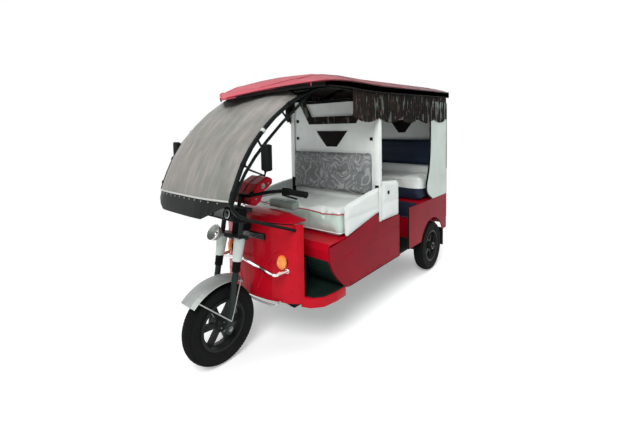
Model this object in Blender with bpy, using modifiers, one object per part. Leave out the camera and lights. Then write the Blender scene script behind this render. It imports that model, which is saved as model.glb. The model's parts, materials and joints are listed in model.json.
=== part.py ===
"""Passenger electric rickshaw: one steered front wheel, a driver's cab and two rows of seats under a roof.

Metres, +X forward, +Y to the driver's left, +Z up. The origin is on the ground under the middle
of the vehicle. Every function below makes one sub-part, or one left and right pair.
"""

from math import asin, atan, cos, pi, radians, sin, tan

import bmesh
import bpy
from mathutils import Matrix, Vector

# Fits
GAP = 0.0003            # between faces that touch on the real vehicle
BORE_PLAY = 0.0006      # all round a spindle in its bore

# Whole vehicle
LENGTH = 2.79           # front of the front tyre to the rear bumper
REAR_OVERHANG = 0.388   # rear axle to the back of the bumper
TYRE_RADIUS = 0.243
TYRE_WIDTH = 0.095
TYRE_HEIGHT = 0.088     # of the tyre's section over the rim
TYRE_SEAT_RADIUS = TYRE_RADIUS - TYRE_HEIGHT
WHEEL_STEPS = 28
WHEELBASE = LENGTH - TYRE_RADIUS - REAR_OVERHANG
FRONT_AXLE_X = LENGTH / 2 - TYRE_RADIUS
REAR_AXLE_X = FRONT_AXLE_X - WHEELBASE
REAR_END_X = -LENGTH / 2
BUMPER_THICKNESS = 0.0195
BUMPER_FACE_X = REAR_END_X + BUMPER_THICKNESS

# Front fork and steering, in heights along the stem from the wheel's middle
RAKE = radians(10.6)
FORK_OFFSET = 0.035     # legs ahead of the steering stem
LEG_Y = 0.09
LEG_RADIUS = 0.019
SHROUD_RADIUS = 0.032
STANCHION_RADIUS = 0.015
LOWER_YOKE = 0.52
UPPER_YOKE = LOWER_YOKE + 0.175
YOKE_THICKNESS = 0.026
YOKE_BORDER = 0.026     # of a yoke round the middle of a leg
YOKE_HALF_WIDTH = LEG_Y + YOKE_BORDER
YOKE_BACK, YOKE_FRONT = -0.024, FORK_OFFSET + YOKE_BORDER
LEG_BOTTOM, LEG_TOP = -0.03, LOWER_YOKE - 0.19
SHROUD_START, SHROUD_END = LOWER_YOKE - 0.12, LOWER_YOKE + 0.01
STEM_RADIUS = 0.0125
SPINDLE_RADIUS = 0.010
HUB_HALF_LENGTH = 0.055
HUB_RADIUS = 0.036
HEAD_TUBE_RADIUS = 0.026
HEAD_TUBE_CLEARANCE = 0.0052
STEM_PLAY = 0.0008
BAR_RADIUS = 0.011
GRIP_RADIUS = 0.017
GRIP_LENGTH = 0.125
BAR_HEIGHT = UPPER_YOKE + 0.095
BAR_STEM_TOP = BAR_HEIGHT - BAR_RADIUS - GAP
BAR_HALF = [            # x ahead of the stem, y, height along the stem
    (0.0, 0.0, BAR_HEIGHT), (-0.012, 0.075, BAR_HEIGHT), (-0.09, 0.165, BAR_HEIGHT + 0.038),
    (-0.155, 0.225, BAR_HEIGHT + 0.055), (-0.185, 0.398, BAR_HEIGHT + 0.048),
]
FENDER_RADIUS = TYRE_RADIUS + 0.053

# Body widths
BODY_HALF_WIDTH = 0.475
PANEL = 0.012
INNER_Y = BODY_HALF_WIDTH - PANEL - GAP         # inside of the side panels
SHIELD_HALF_WIDTH = BODY_HALF_WIDTH - 0.145
RAIL_HEIGHT, RAIL_WIDTH = 0.06, 0.04
RAIL_Y = BODY_HALF_WIDTH - 0.195
REAR_TRACK = 2 * (BODY_HALF_WIDTH - 0.053)
ROOF_OVERHANG = 0.019                           # of the roof past the body's side
ROOF_HALF_WIDTH = BODY_HALF_WIDTH + ROOF_OVERHANG

# Body heights
FLOOR_Z = TYRE_RADIUS + 0.119
FLOOR_THICKNESS = 0.012
BODY_BOTTOM_Z = FLOOR_Z - 0.010
SEAT_DECK_Z = FLOOR_Z + 0.328
SEAT_TOP_Z = SEAT_DECK_Z + 0.18
BENCH_DECK_Z = FLOOR_Z + 0.338
BENCH_TOP_Z = BENCH_DECK_Z + 0.13
TUB_DECK_Z = FLOOR_Z + 0.358
TAIL_TOP_Z = TUB_DECK_Z + 0.26
RAIL_TOP_Z = FLOOR_Z + 1.35
BULKHEAD_TOP_Z = RAIL_TOP_Z - 0.037

# Body lengths: the cab is set from the front axle, the rear body from the rear axle
BULKHEAD_X = 0.0        # middle of the vehicle
NOSE_X = FRONT_AXLE_X - TYRE_RADIUS + 0.006     # front of the leg shield on the centre line
NOSE_BOW = 0.0817                               # of the shield's edges behind its middle
FOOT_ROOM = 0.415
SEAT_FRONT_X = NOSE_X - FOOT_ROOM
BENCH_DEPTH = 0.30
BENCH_X = BULKHEAD_X - BENCH_DEPTH
TUB_X = REAR_AXLE_X + TYRE_RADIUS + 0.029
DOORWAY = 0.178                                 # between the two rows of seats' side panels
DOOR_END_X = BENCH_X - DOORWAY
REAR_PANEL_X = REAR_END_X + 0.020
BACK_PANEL_X = REAR_PANEL_X + 0.085
RAIL_FRONT_X = NOSE_X - 0.115
SHIELD_THICKNESS = 0.008
SHIELD_SEAT = 0.00035   # ahead of the shield's face, which leaves GAP across its slope
SHIELD_BOTTOM_Z = FLOOR_Z - 0.022
NECK_HALF_WIDTH = 0.024
NECK_HEIGHT = 0.044
NECK_POST = (NOSE_X - 0.150, NOSE_X - 0.110)
FLOOR_SIDE = [          # x, y down the left edge of the floor, from where it narrows to the nose
    (NOSE_X - 0.315, INNER_Y), (NOSE_X - 0.215, INNER_Y - 0.0162),
    (NOSE_X - 0.160, INNER_Y - 0.0627), (NOSE_X - 0.140, INNER_Y - 0.1177),
]
FLOOR_FRONT_HALF = SHIELD_HALF_WIDTH - 0.03
STEP_THICKNESS = 0.022

# Running gear
SPRING_HALF_SPAN = 0.2625
SPRING_FRONT_X = REAR_AXLE_X + SPRING_HALF_SPAN
SPRING_REAR_X = REAR_AXLE_X - SPRING_HALF_SPAN
SPRING_EYE_Z = TYRE_RADIUS + 0.025
EYE_RADIUS = 0.012
LEAF, LEAF_WIDTH = 0.007, 0.05
LEAF_BITE = 0.0005      # of each leaf into the one above
AXLE_RADIUS = 0.030
REAR_RAIL_RISE = 0.105

# Driver's seat
SEAT_BOX_SHEET = 0.010
SEAT_SIDE_FRONT = [     # x, z up the swept front of the seat's box
    (SEAT_FRONT_X - 0.045, BODY_BOTTOM_Z), (SEAT_FRONT_X + 0.005, FLOOR_Z + 0.023),
    (SEAT_FRONT_X + 0.060, FLOOR_Z + 0.078), (SEAT_FRONT_X + 0.112, FLOOR_Z + 0.146),
    (SEAT_FRONT_X + 0.145, FLOOR_Z + 0.218), (SEAT_FRONT_X + 0.155, FLOOR_Z + 0.283),
]
PILLAR = 0.035
REAR_PILLAR = 0.028
PILLAR_CLEARANCE = 0.002
BULKHEAD = 0.012
CHEEK_THICKNESS = 0.0295
FIELD_DEPTH = 0.004     # of the recessed fields in the bulkhead and the rear panel

# Rear body
TUB_INNER_Y = REAR_TRACK / 2 - TYRE_WIDTH / 2 - 0.0195
ARCH_RADIUS = TYRE_RADIUS + 0.047

# Roof
ROOF_THICKNESS = 0.012
LIP_THICKNESS = 0.006
ROOF_REAR_X = REAR_PANEL_X - 0.015
VISOR_START_X, VISOR_TIP_X = NOSE_X - 0.615, FRONT_AXLE_X - 0.077
VISOR_NARROWS_X = VISOR_TIP_X - 0.375
VISOR_TIP_HALF = 0.03
CROWN_Z, CROWN_RISE, VISOR_DROP = RAIL_TOP_Z + 0.128, 0.038, 0.215
EDGE_Z, EDGE_RISE, EDGE_DROP = RAIL_TOP_Z + 0.033, 0.045, 0.119
LIP_DROP, LIP_TIP_DROP = 0.050, 0.016
ROOF_RAIL = 0.022
RAIL_OUTER_Y = INNER_Y - 0.004
ROOF_STATIONS = 16
ROOF_SIDES = [-1.0, -0.88, -0.68, -0.36, 0.0, 0.36, 0.68, 0.88, 1.0]
BOW_GAP, VISOR_BOW_GAP = 0.0005, 0.0030
VALANCE_REAR_X = ROOF_REAR_X + 0.03
VALANCE_FRONT_X = BULKHEAD_X + 0.08
VALANCE_SWING = 0.004
VALANCE_Y = BODY_HALF_WIDTH + 0.0085

# Windscreen
SCREEN_TUBE_RADIUS = 0.011
SCREEN_TUBE_Y = SHIELD_HALF_WIDTH + 0.031
BRACE_RADIUS = 0.0088
SCREEN_HALF_WIDTH = SCREEN_TUBE_Y - SCREEN_TUBE_RADIUS - GAP
SCREEN_BULGE = 0.078
SCREEN_THICKNESS = 0.004
HEADER_X = (NOSE_X - 0.337, NOSE_X - 0.315)     # cross bar that carries the side tubes
SCREEN_SIDE = [         # ahead of the nose, below the roof's rails: down the side of the windscreen
    (-0.143, 0.080), (-0.043, 0.132), (0.077, 0.212), (0.167, 0.289), (0.247, 0.375),
    (0.307, 0.462), (0.349, 0.547), (0.375, 0.607), (0.389, 0.646),
]
BAND_BOTTOM = (0.400, 0.747)
BRACE = [               # the same for the second tube behind each side tube
    (-0.223, 0.057), (-0.119, 0.142), (0.017, 0.242), (0.140, 0.346), (0.227, 0.429),
    (0.293, 0.507), (0.342, 0.582), (0.385, 0.662),
]
MIRROR_SEAT = 4         # stretch of the brace that carries the mirror's arm

BODY_COLLECTION = bpy.data.collections.new("electric_rickshaw")
CUTTERS = bpy.data.collections.new("cutters")


def clear_scene():
    for item in list(bpy.data.objects):
        bpy.data.objects.remove(item)
    bpy.context.scene.collection.children.link(BODY_COLLECTION)
    bpy.context.scene.collection.children.link(CUTTERS)


# Materials

PAINTS = {              # colour, roughness, metallic
    "red_paint": ((0.55, 0.010, 0.030), 0.28, 0.0),
    "roof_red": ((0.30, 0.020, 0.040), 0.35, 0.0),
    "white_vinyl": ((0.78, 0.81, 0.79), 0.50, 0.0),
    "pale_vinyl": ((0.62, 0.70, 0.66), 0.50, 0.0),
    "grey_print": ((0.30, 0.31, 0.33), 0.60, 0.0),
    "navy_vinyl": ((0.05, 0.07, 0.11), 0.55, 0.0),
    "black_plastic": ((0.015, 0.02, 0.02), 0.45, 0.0),
    "frame_enamel": ((0.04, 0.055, 0.055), 0.40, 0.3),
    "fork_enamel": ((0.14, 0.18, 0.18), 0.35, 0.5),
    "silver": ((0.62, 0.64, 0.63), 0.30, 0.6),
    "chrome": ((0.80, 0.78, 0.78), 0.15, 1.0),
    "tyre_rubber": ((0.015, 0.02, 0.018), 0.80, 0.0),
    "rim_enamel": ((0.05, 0.06, 0.06), 0.40, 0.5),
    "screen_sheet": ((0.28, 0.28, 0.27), 0.15, 0.0),
    "band_plastic": ((0.06, 0.065, 0.065), 0.40, 0.0),
    "amber_lens": ((0.90, 0.32, 0.05), 0.20, 0.0),
    "red_lens": ((0.50, 0.01, 0.02), 0.20, 0.0),
    "lamp_glass": ((0.75, 0.78, 0.78), 0.10, 0.0),
    "curtain": ((0.55, 0.62, 0.58), 0.60, 0.0),
    "valance_cloth": ((0.10, 0.09, 0.08), 0.80, 0.0),
    "floor_mat": ((0.02, 0.05, 0.035), 0.80, 0.0),
}


def paint(name):
    found = bpy.data.materials.get(name)
    if found:
        return found
    colour, roughness, metallic = PAINTS[name]
    made = bpy.data.materials.new(name)
    made.use_nodes = True
    shader = made.node_tree.nodes["Principled BSDF"]
    shader.inputs["Base Color"].default_value = (*colour, 1)
    shader.inputs["Roughness"].default_value = roughness
    shader.inputs["Metallic"].default_value = metallic
    return made


# Shapes

def object_from(bm, name, collection=CUTTERS):
    mesh = bpy.data.meshes.new(name)
    bmesh.ops.recalc_face_normals(bm, faces=bm.faces)
    if bm.calc_volume(signed=True) < 0:
        bmesh.ops.reverse_faces(bm, faces=bm.faces)
    bm.to_mesh(mesh)
    bm.free()
    made = bpy.data.objects.new(name, mesh)
    collection.objects.link(made)
    return made


def baked(item):
    """Give an object the mesh that its modifiers or its curve make."""
    bpy.context.view_layer.update()
    graph = bpy.context.evaluated_depsgraph_get()
    mesh = bpy.data.meshes.new_from_object(item.evaluated_get(graph))
    bm = bmesh.new()
    bm.from_mesh(mesh)
    bmesh.ops.remove_doubles(bm, verts=bm.verts, dist=1e-6)
    made = object_from(bm, item.name)
    made.matrix_world = item.matrix_world.copy()
    bpy.data.objects.remove(item)
    return made


def box(x, y, z):
    """A block between pairs of limits."""
    bm = bmesh.new()
    bmesh.ops.create_cube(bm, size=1)
    spans = [(min(pair), max(pair)) for pair in (x, y, z)]
    bmesh.ops.scale(bm, vec=[high - low for low, high in spans], verts=bm.verts)
    bmesh.ops.translate(bm, vec=[(low + high) / 2 for low, high in spans], verts=bm.verts)
    return object_from(bm, "box")


def prism(outline, axis, low, high):
    """A flat outline pushed along one axis; its points are the other two coordinates in order."""
    place = {
        "X": lambda a, b: (low, a, b),
        "Y": lambda a, b: (a, low, b),
        "Z": lambda a, b: (a, b, low),
    }[axis]
    bm = bmesh.new()
    face = bm.faces.new([bm.verts.new(place(*point)) for point in outline])
    moved = bmesh.ops.extrude_face_region(bm, geom=[face])["geom"]
    step = Vector([(high - low) * (name == axis) for name in "XYZ"])
    bmesh.ops.translate(bm, vec=step, verts=[v for v in moved if isinstance(v, bmesh.types.BMVert)])
    return object_from(bm, "prism")


def strip(path, thickness):
    """The closed outline of a sheet that follows an open path, its thickness laid to the left."""
    points = [Vector(point) for point in path]
    normals = []
    for here, there in zip(points, points[1:]):
        run = (there - here).normalized()
        normals.append(Vector((-run.y, run.x)))
    inner = []
    for index, point in enumerate(points):
        before = normals[max(index - 1, 0)]
        after = normals[min(index, len(normals) - 1)]
        middle = (before + after).normalized()
        inner.append(point + middle * thickness / middle.dot(after))
    return [tuple(point) for point in points] + [tuple(point) for point in reversed(inner)]


def arc(centre, radius, start, end, steps):
    """Points of a circular arc, with its angles in degrees."""
    turns = [radians(start + (end - start) * i / steps) for i in range(steps + 1)]
    return [(centre[0] + radius * cos(turn), centre[1] + radius * sin(turn)) for turn in turns]


def slab(columns, rows, point, push):
    """A sheet over a grid: point(u, v) is its outer face, and push(u, v) leads to its inner face."""
    bm = bmesh.new()
    bmesh.ops.create_grid(bm, x_segments=columns, y_segments=rows, size=0.5)
    bm.verts.ensure_lookup_table()
    share = {vert: (vert.co.x + 0.5, vert.co.y + 0.5) for vert in bm.verts}
    moved = bmesh.ops.extrude_face_region(bm, geom=list(bm.faces))["geom"]
    inner = [item for item in moved if isinstance(item, bmesh.types.BMVert)]
    inner_share = {vert: (vert.co.x + 0.5, vert.co.y + 0.5) for vert in inner}
    for vert, (u, v) in share.items():
        vert.co = Vector(point(u, v))
    for vert, (u, v) in inner_share.items():
        vert.co = Vector(point(u, v)) + Vector(push(u, v))
    return object_from(bm, "slab")


def tube(path, radius, resolution=2):
    """A round bar along a path, with filled ends."""
    curve = bpy.data.curves.new("tube", "CURVE")
    curve.dimensions = "3D"
    curve.bevel_depth = radius
    curve.bevel_resolution = resolution
    curve.use_fill_caps = True
    line = curve.splines.new("POLY")
    line.points.add(len(path) - 1)
    for index, place in enumerate(path):
        line.points[index].co = (*place, 1)
    made = bpy.data.objects.new("tube", curve)
    CUTTERS.objects.link(made)
    return baked(made)


def rounded(path, radius, steps=3):
    """A path of straight runs with each corner turned on an arc, at most a third of either run long."""
    points = [Vector(point) for point in path]
    out = [points[0]]
    for before, corner, after in zip(points, points[1:], points[2:]):
        back, on = before - corner, after - corner
        half = back.angle(on) / 2
        reach = min(radius * cos(half) / sin(half), back.length / 3, on.length / 3)
        start, end = corner + back.normalized() * reach, corner + on.normalized() * reach
        for i in range(steps + 1):
            share = i / steps
            out.append(start.lerp(corner, share).lerp(corner.lerp(end, share), share))
    out.append(points[-1])
    return [tuple(point) for point in out]


def cylinder(radius, start, end, sides=16):
    """A round bar between two points."""
    start, end = Vector(start), Vector(end)
    bm = bmesh.new()
    bmesh.ops.create_cone(
        bm, cap_ends=True, segments=sides, radius1=radius, radius2=radius, depth=(end - start).length,
    )
    turn = (end - start).to_track_quat("Z", "Y").to_matrix().to_4x4()
    bmesh.ops.transform(bm, matrix=Matrix.Translation((start + end) / 2) @ turn, verts=bm.verts)
    return object_from(bm, "cylinder")


def turned(profile, steps, closed=False):
    """A profile of radius and height, turned round Z. It runs down its outer side."""
    bm = bmesh.new()
    verts = [bm.verts.new((radius, 0, height)) for radius, height in profile]
    for first, second in zip(verts, verts[1:]):
        bm.edges.new((first, second))
    if closed:
        bm.edges.new((verts[-1], verts[0]))
    item = object_from(bm, "turned")
    screw = item.modifiers.new("Screw", "SCREW")
    screw.axis = "Z"
    screw.angle = 2 * pi
    screw.steps = screw.render_steps = steps
    screw.use_merge_vertices = True
    screw.merge_threshold = 1e-5
    return baked(item)


def moved(item, matrix):
    """Put an object's mesh through a transform."""
    item.data.transform(matrix)
    item.data.update()
    return item


def combined(base, others, operation="UNION"):
    """Join other shapes to a base, or cut them from it, and keep one mesh."""
    for other in others:
        tool = base.modifiers.new("Shape", "BOOLEAN")
        tool.operation = operation
        tool.solver = "EXACT"
        tool.object = other
    made = baked(base)
    for other in others:
        bpy.data.objects.remove(other)
    return made


def cut(base, others):
    return combined(base, others, "DIFFERENCE")


def softened(item, width, segments=1, angle=40):
    """Round an object's sharper edges."""
    bevel = item.modifiers.new("Bevel", "BEVEL")
    bevel.width = width
    bevel.segments = segments
    bevel.limit_method = "ANGLE"
    bevel.angle_limit = radians(angle)
    return baked(item)


def named(item, name, material, parent=None):
    """Enter a finished shape as one piece of the vehicle."""
    item.name = name
    item.data.name = name
    item.data.materials.clear()
    item.data.materials.append(paint(material))
    item.data.shade_smooth()
    item.data.set_sharp_from_angle(angle=radians(32))
    CUTTERS.objects.unlink(item)
    BODY_COLLECTION.objects.link(item)
    if parent:
        item.parent = parent
    return item


def mirrored(item):
    """The same shape on the other side of the vehicle."""
    bm = bmesh.new()
    bm.from_mesh(item.data)
    bmesh.ops.scale(bm, vec=(1, -1, 1), verts=bm.verts)
    return object_from(bm, "mirrored")


def pair(item, name, material):
    """Enter a left-hand shape and its right-hand twin."""
    twin = mirrored(item)
    named(item, f"{name}_left", material)
    named(twin, f"{name}_right", material)


def axis_empty(name, place, turn=(0, 0, 0), parent=None):
    made = bpy.data.objects.new(name, None)
    made.location = place
    made.rotation_euler = turn
    made.parent = parent
    BODY_COLLECTION.objects.link(made)
    return made


# Body lines that several panels share

def nose_x(y):
    """Front face of the leg shield at a distance from the centre line."""
    return NOSE_X - NOSE_BOW * (y / SHIELD_HALF_WIDTH) ** 2


def steering_matrix():
    """From the steering's own lengths, ahead of and along the stem, to the vehicle's."""
    base = Vector((FRONT_AXLE_X, 0, TYRE_RADIUS)) - FORK_OFFSET * Vector((cos(RAKE), 0, sin(RAKE)))
    return Matrix.Translation(base) @ Matrix.Rotation(-RAKE, 4, "Y")


def neck_z():
    """Middle height of the beam that carries the head tube by its lower end."""
    low = LOWER_YOKE + YOKE_THICKNESS + HEAD_TUBE_CLEARANCE
    return (steering_matrix() @ Vector((0, 0, low))).z + 0.0236


def neck_front_x():
    """Where the beam ends, inside the head tube's wall and short of its bore."""
    base = steering_matrix().translation
    return base.x - (neck_z() - base.z) * tan(RAKE) - 0.0218


SHIELD_TOP_Z = neck_z() + 0.038


def visor_share(x):
    """How far a line across the roof lies from the visor's start to its tip."""
    return max(0.0, (x - VISOR_START_X) / (VISOR_TIP_X - VISOR_START_X))


def rear_share(x):
    """How far a line across the roof lies from the bulkhead to the roof's rear edge."""
    return max(0.0, (BULKHEAD_X - x) / (BULKHEAD_X - ROOF_REAR_X))


def roof_crown(x):
    return CROWN_Z + CROWN_RISE * rear_share(x) - VISOR_DROP * visor_share(x) ** 1.8


def roof_edge(x):
    return EDGE_Z + EDGE_RISE * rear_share(x) - EDGE_DROP * visor_share(x) ** 2.5


def roof_half_width(x):
    share = max(0.0, (x - VISOR_NARROWS_X) / (VISOR_TIP_X - VISOR_NARROWS_X))
    return VISOR_TIP_HALF + (ROOF_HALF_WIDTH - VISOR_TIP_HALF) * (1 - share ** 1.3)


def roof_top(x, side):
    """Height of the roof's top where side runs from -1 to 1 across it."""
    return roof_crown(x) - (roof_crown(x) - roof_edge(x)) * abs(side) ** 2.5


def roof_x(share):
    return ROOF_REAR_X + share * (VISOR_TIP_X - ROOF_REAR_X)


def roof_under(x, y):
    """Height of the roof's underside, where it has its full width, between the lines of its grid."""
    lines = [ROOF_HALF_WIDTH * side - LIP_THICKNESS * (side == 1.0) for side in ROOF_SIDES]
    index = max(i for i, line in enumerate(lines[:-1]) if line <= abs(y))
    low, high = ROOF_SIDES[index:index + 2]
    across = (abs(y) - lines[index]) / (lines[index + 1] - lines[index])

    def row(number):
        at = roof_x(number / ROOF_STATIONS)
        return roof_top(at, low) + (roof_top(at, high) - roof_top(at, low)) * across

    station = (x - ROOF_REAR_X) / (VISOR_TIP_X - ROOF_REAR_X) * ROOF_STATIONS
    first = min(max(int(station), 0), ROOF_STATIONS - 1)
    return row(first) + (row(first + 1) - row(first)) * (station - first) - ROOF_THICKNESS


# Wheels

def doubled(side):
    """A profile of radius and height, and its mirror image followed back."""
    return side + [(radius, -height) for radius, height in reversed(side)]


def tyre_mesh():
    half = TYRE_WIDTH / 2
    outer = TYRE_RADIUS / cos(pi / WHEEL_STEPS)
    seat = TYRE_SEAT_RADIUS / cos(pi / WHEEL_STEPS)
    section = doubled([
        (seat, half * 0.76), (seat + 0.016, half * 0.90), (seat + 0.038, half),
        (outer - 0.024, half * 0.92), (outer - 0.008, half * 0.70), (outer, half * 0.40),
    ])
    return turned(section, WHEEL_STEPS, closed=True)


def rim_mesh():
    """Pressed rim whose flat web has a window between each two spokes."""
    outer = (TYRE_SEAT_RADIUS - GAP) / cos(pi / WHEEL_STEPS)
    bore = SPINDLE_RADIUS + BORE_PLAY
    width, web, ring, fillet = TYRE_WIDTH / 2 - 0.0055, 0.009, 0.018, 0.008
    section = doubled([
        (bore, HUB_HALF_LENGTH), (HUB_RADIUS, HUB_HALF_LENGTH), (HUB_RADIUS + 0.004, web + 0.006),
        (outer - ring - fillet, web), (outer - ring, width), (outer, width),
    ])
    rim = turned(section, WHEEL_STEPS, closed=True)
    spokes, inner, reach = 6, HUB_RADIUS + 0.016, outer - ring - 0.012
    turn = 360 / spokes
    windows = []
    for index in range(spokes):
        middle = turn * (index + 0.5)
        edge = arc((0, 0), reach, middle - turn * 0.34, middle + turn * 0.34, 4)
        back = arc((0, 0), inner, middle + turn * 0.20, middle - turn * 0.20, 2)
        windows.append(prism(edge + back, "Z", -TYRE_WIDTH, TYRE_WIDTH))
    return cut(rim, windows)


def wheel(name, axis):
    """A tyre on its rim, turned so that a flat of the tyre rests on the ground."""
    stand = Matrix.Rotation(pi / 2, 4, "X") @ Matrix.Rotation(pi / WHEEL_STEPS, 4, "Z")
    named(moved(tyre_mesh(), stand), f"{name}_tyre", "tyre_rubber", axis)
    named(moved(rim_mesh(), stand), f"{name}_rim", "rim_enamel", axis)


# Steering

def fork_leg(side):
    """One telescopic leg with its upper cover and the spindle's shoulder."""
    x, y = FORK_OFFSET, side * LEG_Y
    cover = [
        (0, SHROUD_END), (SHROUD_RADIUS * 0.9, SHROUD_END), (SHROUD_RADIUS, SHROUD_END - 0.02),
        (SHROUD_RADIUS * 0.78, SHROUD_START), (0, SHROUD_START),
    ]
    top = UPPER_YOKE + YOKE_THICKNESS + 0.008
    return [
        cylinder(LEG_RADIUS, (x, y, LEG_BOTTOM), (x, y, LEG_TOP)),
        cylinder(STANCHION_RADIUS, (x, y, LEG_TOP - 0.02), (x, y, top)),
        cylinder(SPINDLE_RADIUS + 0.006, (x, y, 0), (x, (HUB_HALF_LENGTH + GAP) * side, 0)),
        moved(turned(cover, 20), Matrix.Translation((x, y, 0))),
    ]


def fork(axis):
    """Telescopic legs with their upper covers, yokes, stem and wheel spindle."""
    spindle = cylinder(SPINDLE_RADIUS, (FORK_OFFSET, -LEG_Y, 0), (FORK_OFFSET, LEG_Y, 0))
    parts = fork_leg(-1) + fork_leg(1)
    for height in (LOWER_YOKE, UPPER_YOKE):
        yoke = box(
            (YOKE_BACK, YOKE_FRONT), (-YOKE_HALF_WIDTH, YOKE_HALF_WIDTH), (height, height + YOKE_THICKNESS),
        )
        parts.append(softened(yoke, 0.008))
    stem = cylinder(STEM_RADIUS, (0, 0, LOWER_YOKE + 0.005), (0, 0, BAR_STEM_TOP))
    named(combined(spindle, [stem] + parts), "fork", "fork_enamel", axis)


def bar_path():
    right = [(x, -y, z) for x, y, z in reversed(BAR_HALF[1:])]
    return rounded(right + BAR_HALF, 0.045)


def handlebar(axis):
    """Swept bar with a grip, a switch housing and a lever on each side."""
    parts = [tube(bar_path(), BAR_RADIUS, 2)]
    bend, tip = Vector(BAR_HALF[-2]), Vector(BAR_HALF[-1])
    run = (tip - bend).normalized()
    for side in (1, -1):
        mirror = Vector((1, side, 1))
        start, end = (tip - run * GRIP_LENGTH) * mirror, (tip + run * 0.004) * mirror
        switch = (tip - run * (GRIP_LENGTH + 0.006)) * mirror, (tip - run * (GRIP_LENGTH + 0.046)) * mirror
        parts.append(cylinder(GRIP_RADIUS, start, end, 14))
        parts.append(cylinder(GRIP_RADIUS + 0.004, *switch, 12))
        lever = [
            (tip - run * (GRIP_LENGTH + 0.03)) * mirror + Vector((0.010, 0, -0.008)),
            (tip - run * (GRIP_LENGTH + 0.01)) * mirror + Vector((0.045, 0, -0.022)),
            (tip - run * 0.02) * mirror + Vector((0.052, 0, -0.030)),
        ]
        parts.append(tube([tuple(point) for point in lever], 0.0055, 1))
    named(combined(parts[0], parts[1:]), "handlebar", "black_plastic", axis)


def handlebar_cowl(axis):
    """Red instrument cowl that wraps the middle of the bar."""
    half = 0.088
    side_view = [                       # x ahead of the stem, height over the bar
        (-0.018, -0.055), (-0.016, 0.010), (-0.060, 0.080), (-0.140, 0.135), (-0.185, 0.125),
        (-0.190, 0.090), (-0.130, 0.040), (-0.105, -0.030), (-0.075, -0.062),
    ]
    outline = [(x, BAR_HEIGHT + rise) for x, rise in side_view]
    shell = softened(prism(outline, "Y", -half, half), 0.012, 2)
    bore = tube(bar_path(), BAR_RADIUS + GAP * 2, 2)
    stem = cylinder(STEM_RADIUS + 0.0025, (0, 0, BAR_HEIGHT - 0.09), (0, 0, BAR_STEM_TOP + 0.01))
    named(cut(shell, [bore, stem]), "handlebar_cowl", "red_paint", axis)


def headlamp(axis):
    """Wide black lamp housing on the upper yoke, with one lens strip that domes over two lamps."""
    front, back, half = YOKE_FRONT + 0.087, YOKE_FRONT + 0.001, 0.172
    low, high = UPPER_YOKE - 0.055, UPPER_YOKE + 0.027
    housing = softened(box((back, front), (-half, half), (low, high)), 0.014, 2)
    arm = box((YOKE_FRONT + GAP, back + 0.01), (-0.03, 0.03), (UPPER_YOKE + 0.003, UPPER_YOKE + 0.022))
    lens_radius, lens_y, depth, middle = 0.031, 0.085, 0.010, (low + high) / 2
    strip_y, strip_z = lens_y + lens_radius + 0.012, lens_radius - 0.004
    pocket = box(
        (front - depth, front + 0.02), (-strip_y - GAP, strip_y + GAP),
        (middle - strip_z - GAP, middle + strip_z + GAP),
    )
    named(cut(combined(housing, [arm]), [pocket]), "headlamp", "black_plastic", axis)
    glass_x = (front - depth + GAP, front - 0.002)
    glass = box(glass_x, (-strip_y, strip_y), (middle - strip_z, middle + strip_z))
    dome_radius, rise, root = lens_radius * 0.8, 0.013, -0.004
    curve = [(dome_radius * sin(radians(a)), rise * cos(radians(a))) for a in (0, 30, 60, 90)]
    domes = []
    for y in (-lens_y, lens_y):
        dome = turned(curve + [(dome_radius, root), (0, root)], 20)
        place = Matrix.Translation((glass_x[1], y, middle)) @ Matrix.Rotation(pi / 2, 4, "Y")
        domes.append(moved(dome, place))
    named(combined(glass, domes), "headlamp_lens", "lamp_glass", axis)


def horn(axis):
    """Silver horn bowl under the headlamp, on a stay from the lower yoke."""
    section = [
        (0, 0.000), (0.022, 0.000), (0.040, 0.014), (0.049, 0.036), (0.052, 0.050), (0.049, 0.050),
        (0.030, 0.020), (0, 0.016),
    ]
    y, height, tilt = -LEG_Y / 2, LOWER_YOKE + 0.012, radians(68)
    place = Matrix.Translation((YOKE_FRONT + 0.030, y, height)) @ Matrix.Rotation(tilt, 4, "Y")
    stay = box(
        (YOKE_FRONT + GAP, YOKE_FRONT + 0.045), (y - 0.010, y + 0.010), (height - 0.008, height + 0.008),
    )
    named(combined(moved(turned(section, 20), place), [stay]), "horn", "silver", axis)


def fender(axis):
    """Domed mudguard between the fork legs."""
    start, end, crown, flare, wall = 42, 118, 0.024, 0.012, 0.004
    half = LEG_Y - LEG_RADIUS - GAP

    def skin(u, v):
        turn = radians(start + (end - start) * u)
        side = 2 * v - 1
        reach = FENDER_RADIUS - crown * side * side + flare * (1 - u) ** 2
        return FORK_OFFSET + reach * cos(turn), half * side, reach * sin(turn)

    def inward(u, v):
        turn = radians(start + (end - start) * u)
        return -wall * cos(turn), 0, -wall * sin(turn)

    ahead = Matrix.Translation((FORK_OFFSET, 0, 0))
    guard = moved(slab(12, 6, skin, inward), ahead @ Matrix.Rotation(RAKE, 4, "Y") @ ahead.inverted())
    named(guard, "front_fender", "silver", axis)


# Chassis and running gear

def rail_path():
    middle = FLOOR_Z - FLOOR_THICKNESS - GAP - RAIL_HEIGHT / 2
    return [
        (RAIL_FRONT_X, middle), (TUB_X - 0.06, middle), (TUB_X - 0.14, middle + REAR_RAIL_RISE),
        (BUMPER_FACE_X + GAP, middle + REAR_RAIL_RISE),
    ]


def head_tube_parts():
    """The tube round the steering stem, and its bore."""
    low, high = LOWER_YOKE + YOKE_THICKNESS + HEAD_TUBE_CLEARANCE, UPPER_YOKE - HEAD_TUBE_CLEARANCE
    tilt = steering_matrix()
    outer = moved(cylinder(HEAD_TUBE_RADIUS, (0, 0, low), (0, 0, high), 24), tilt)
    bore = moved(cylinder(STEM_RADIUS + STEM_PLAY, (0, 0, low - 0.02), (0, 0, high + 0.02), 24), tilt)
    return outer, bore


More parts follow.
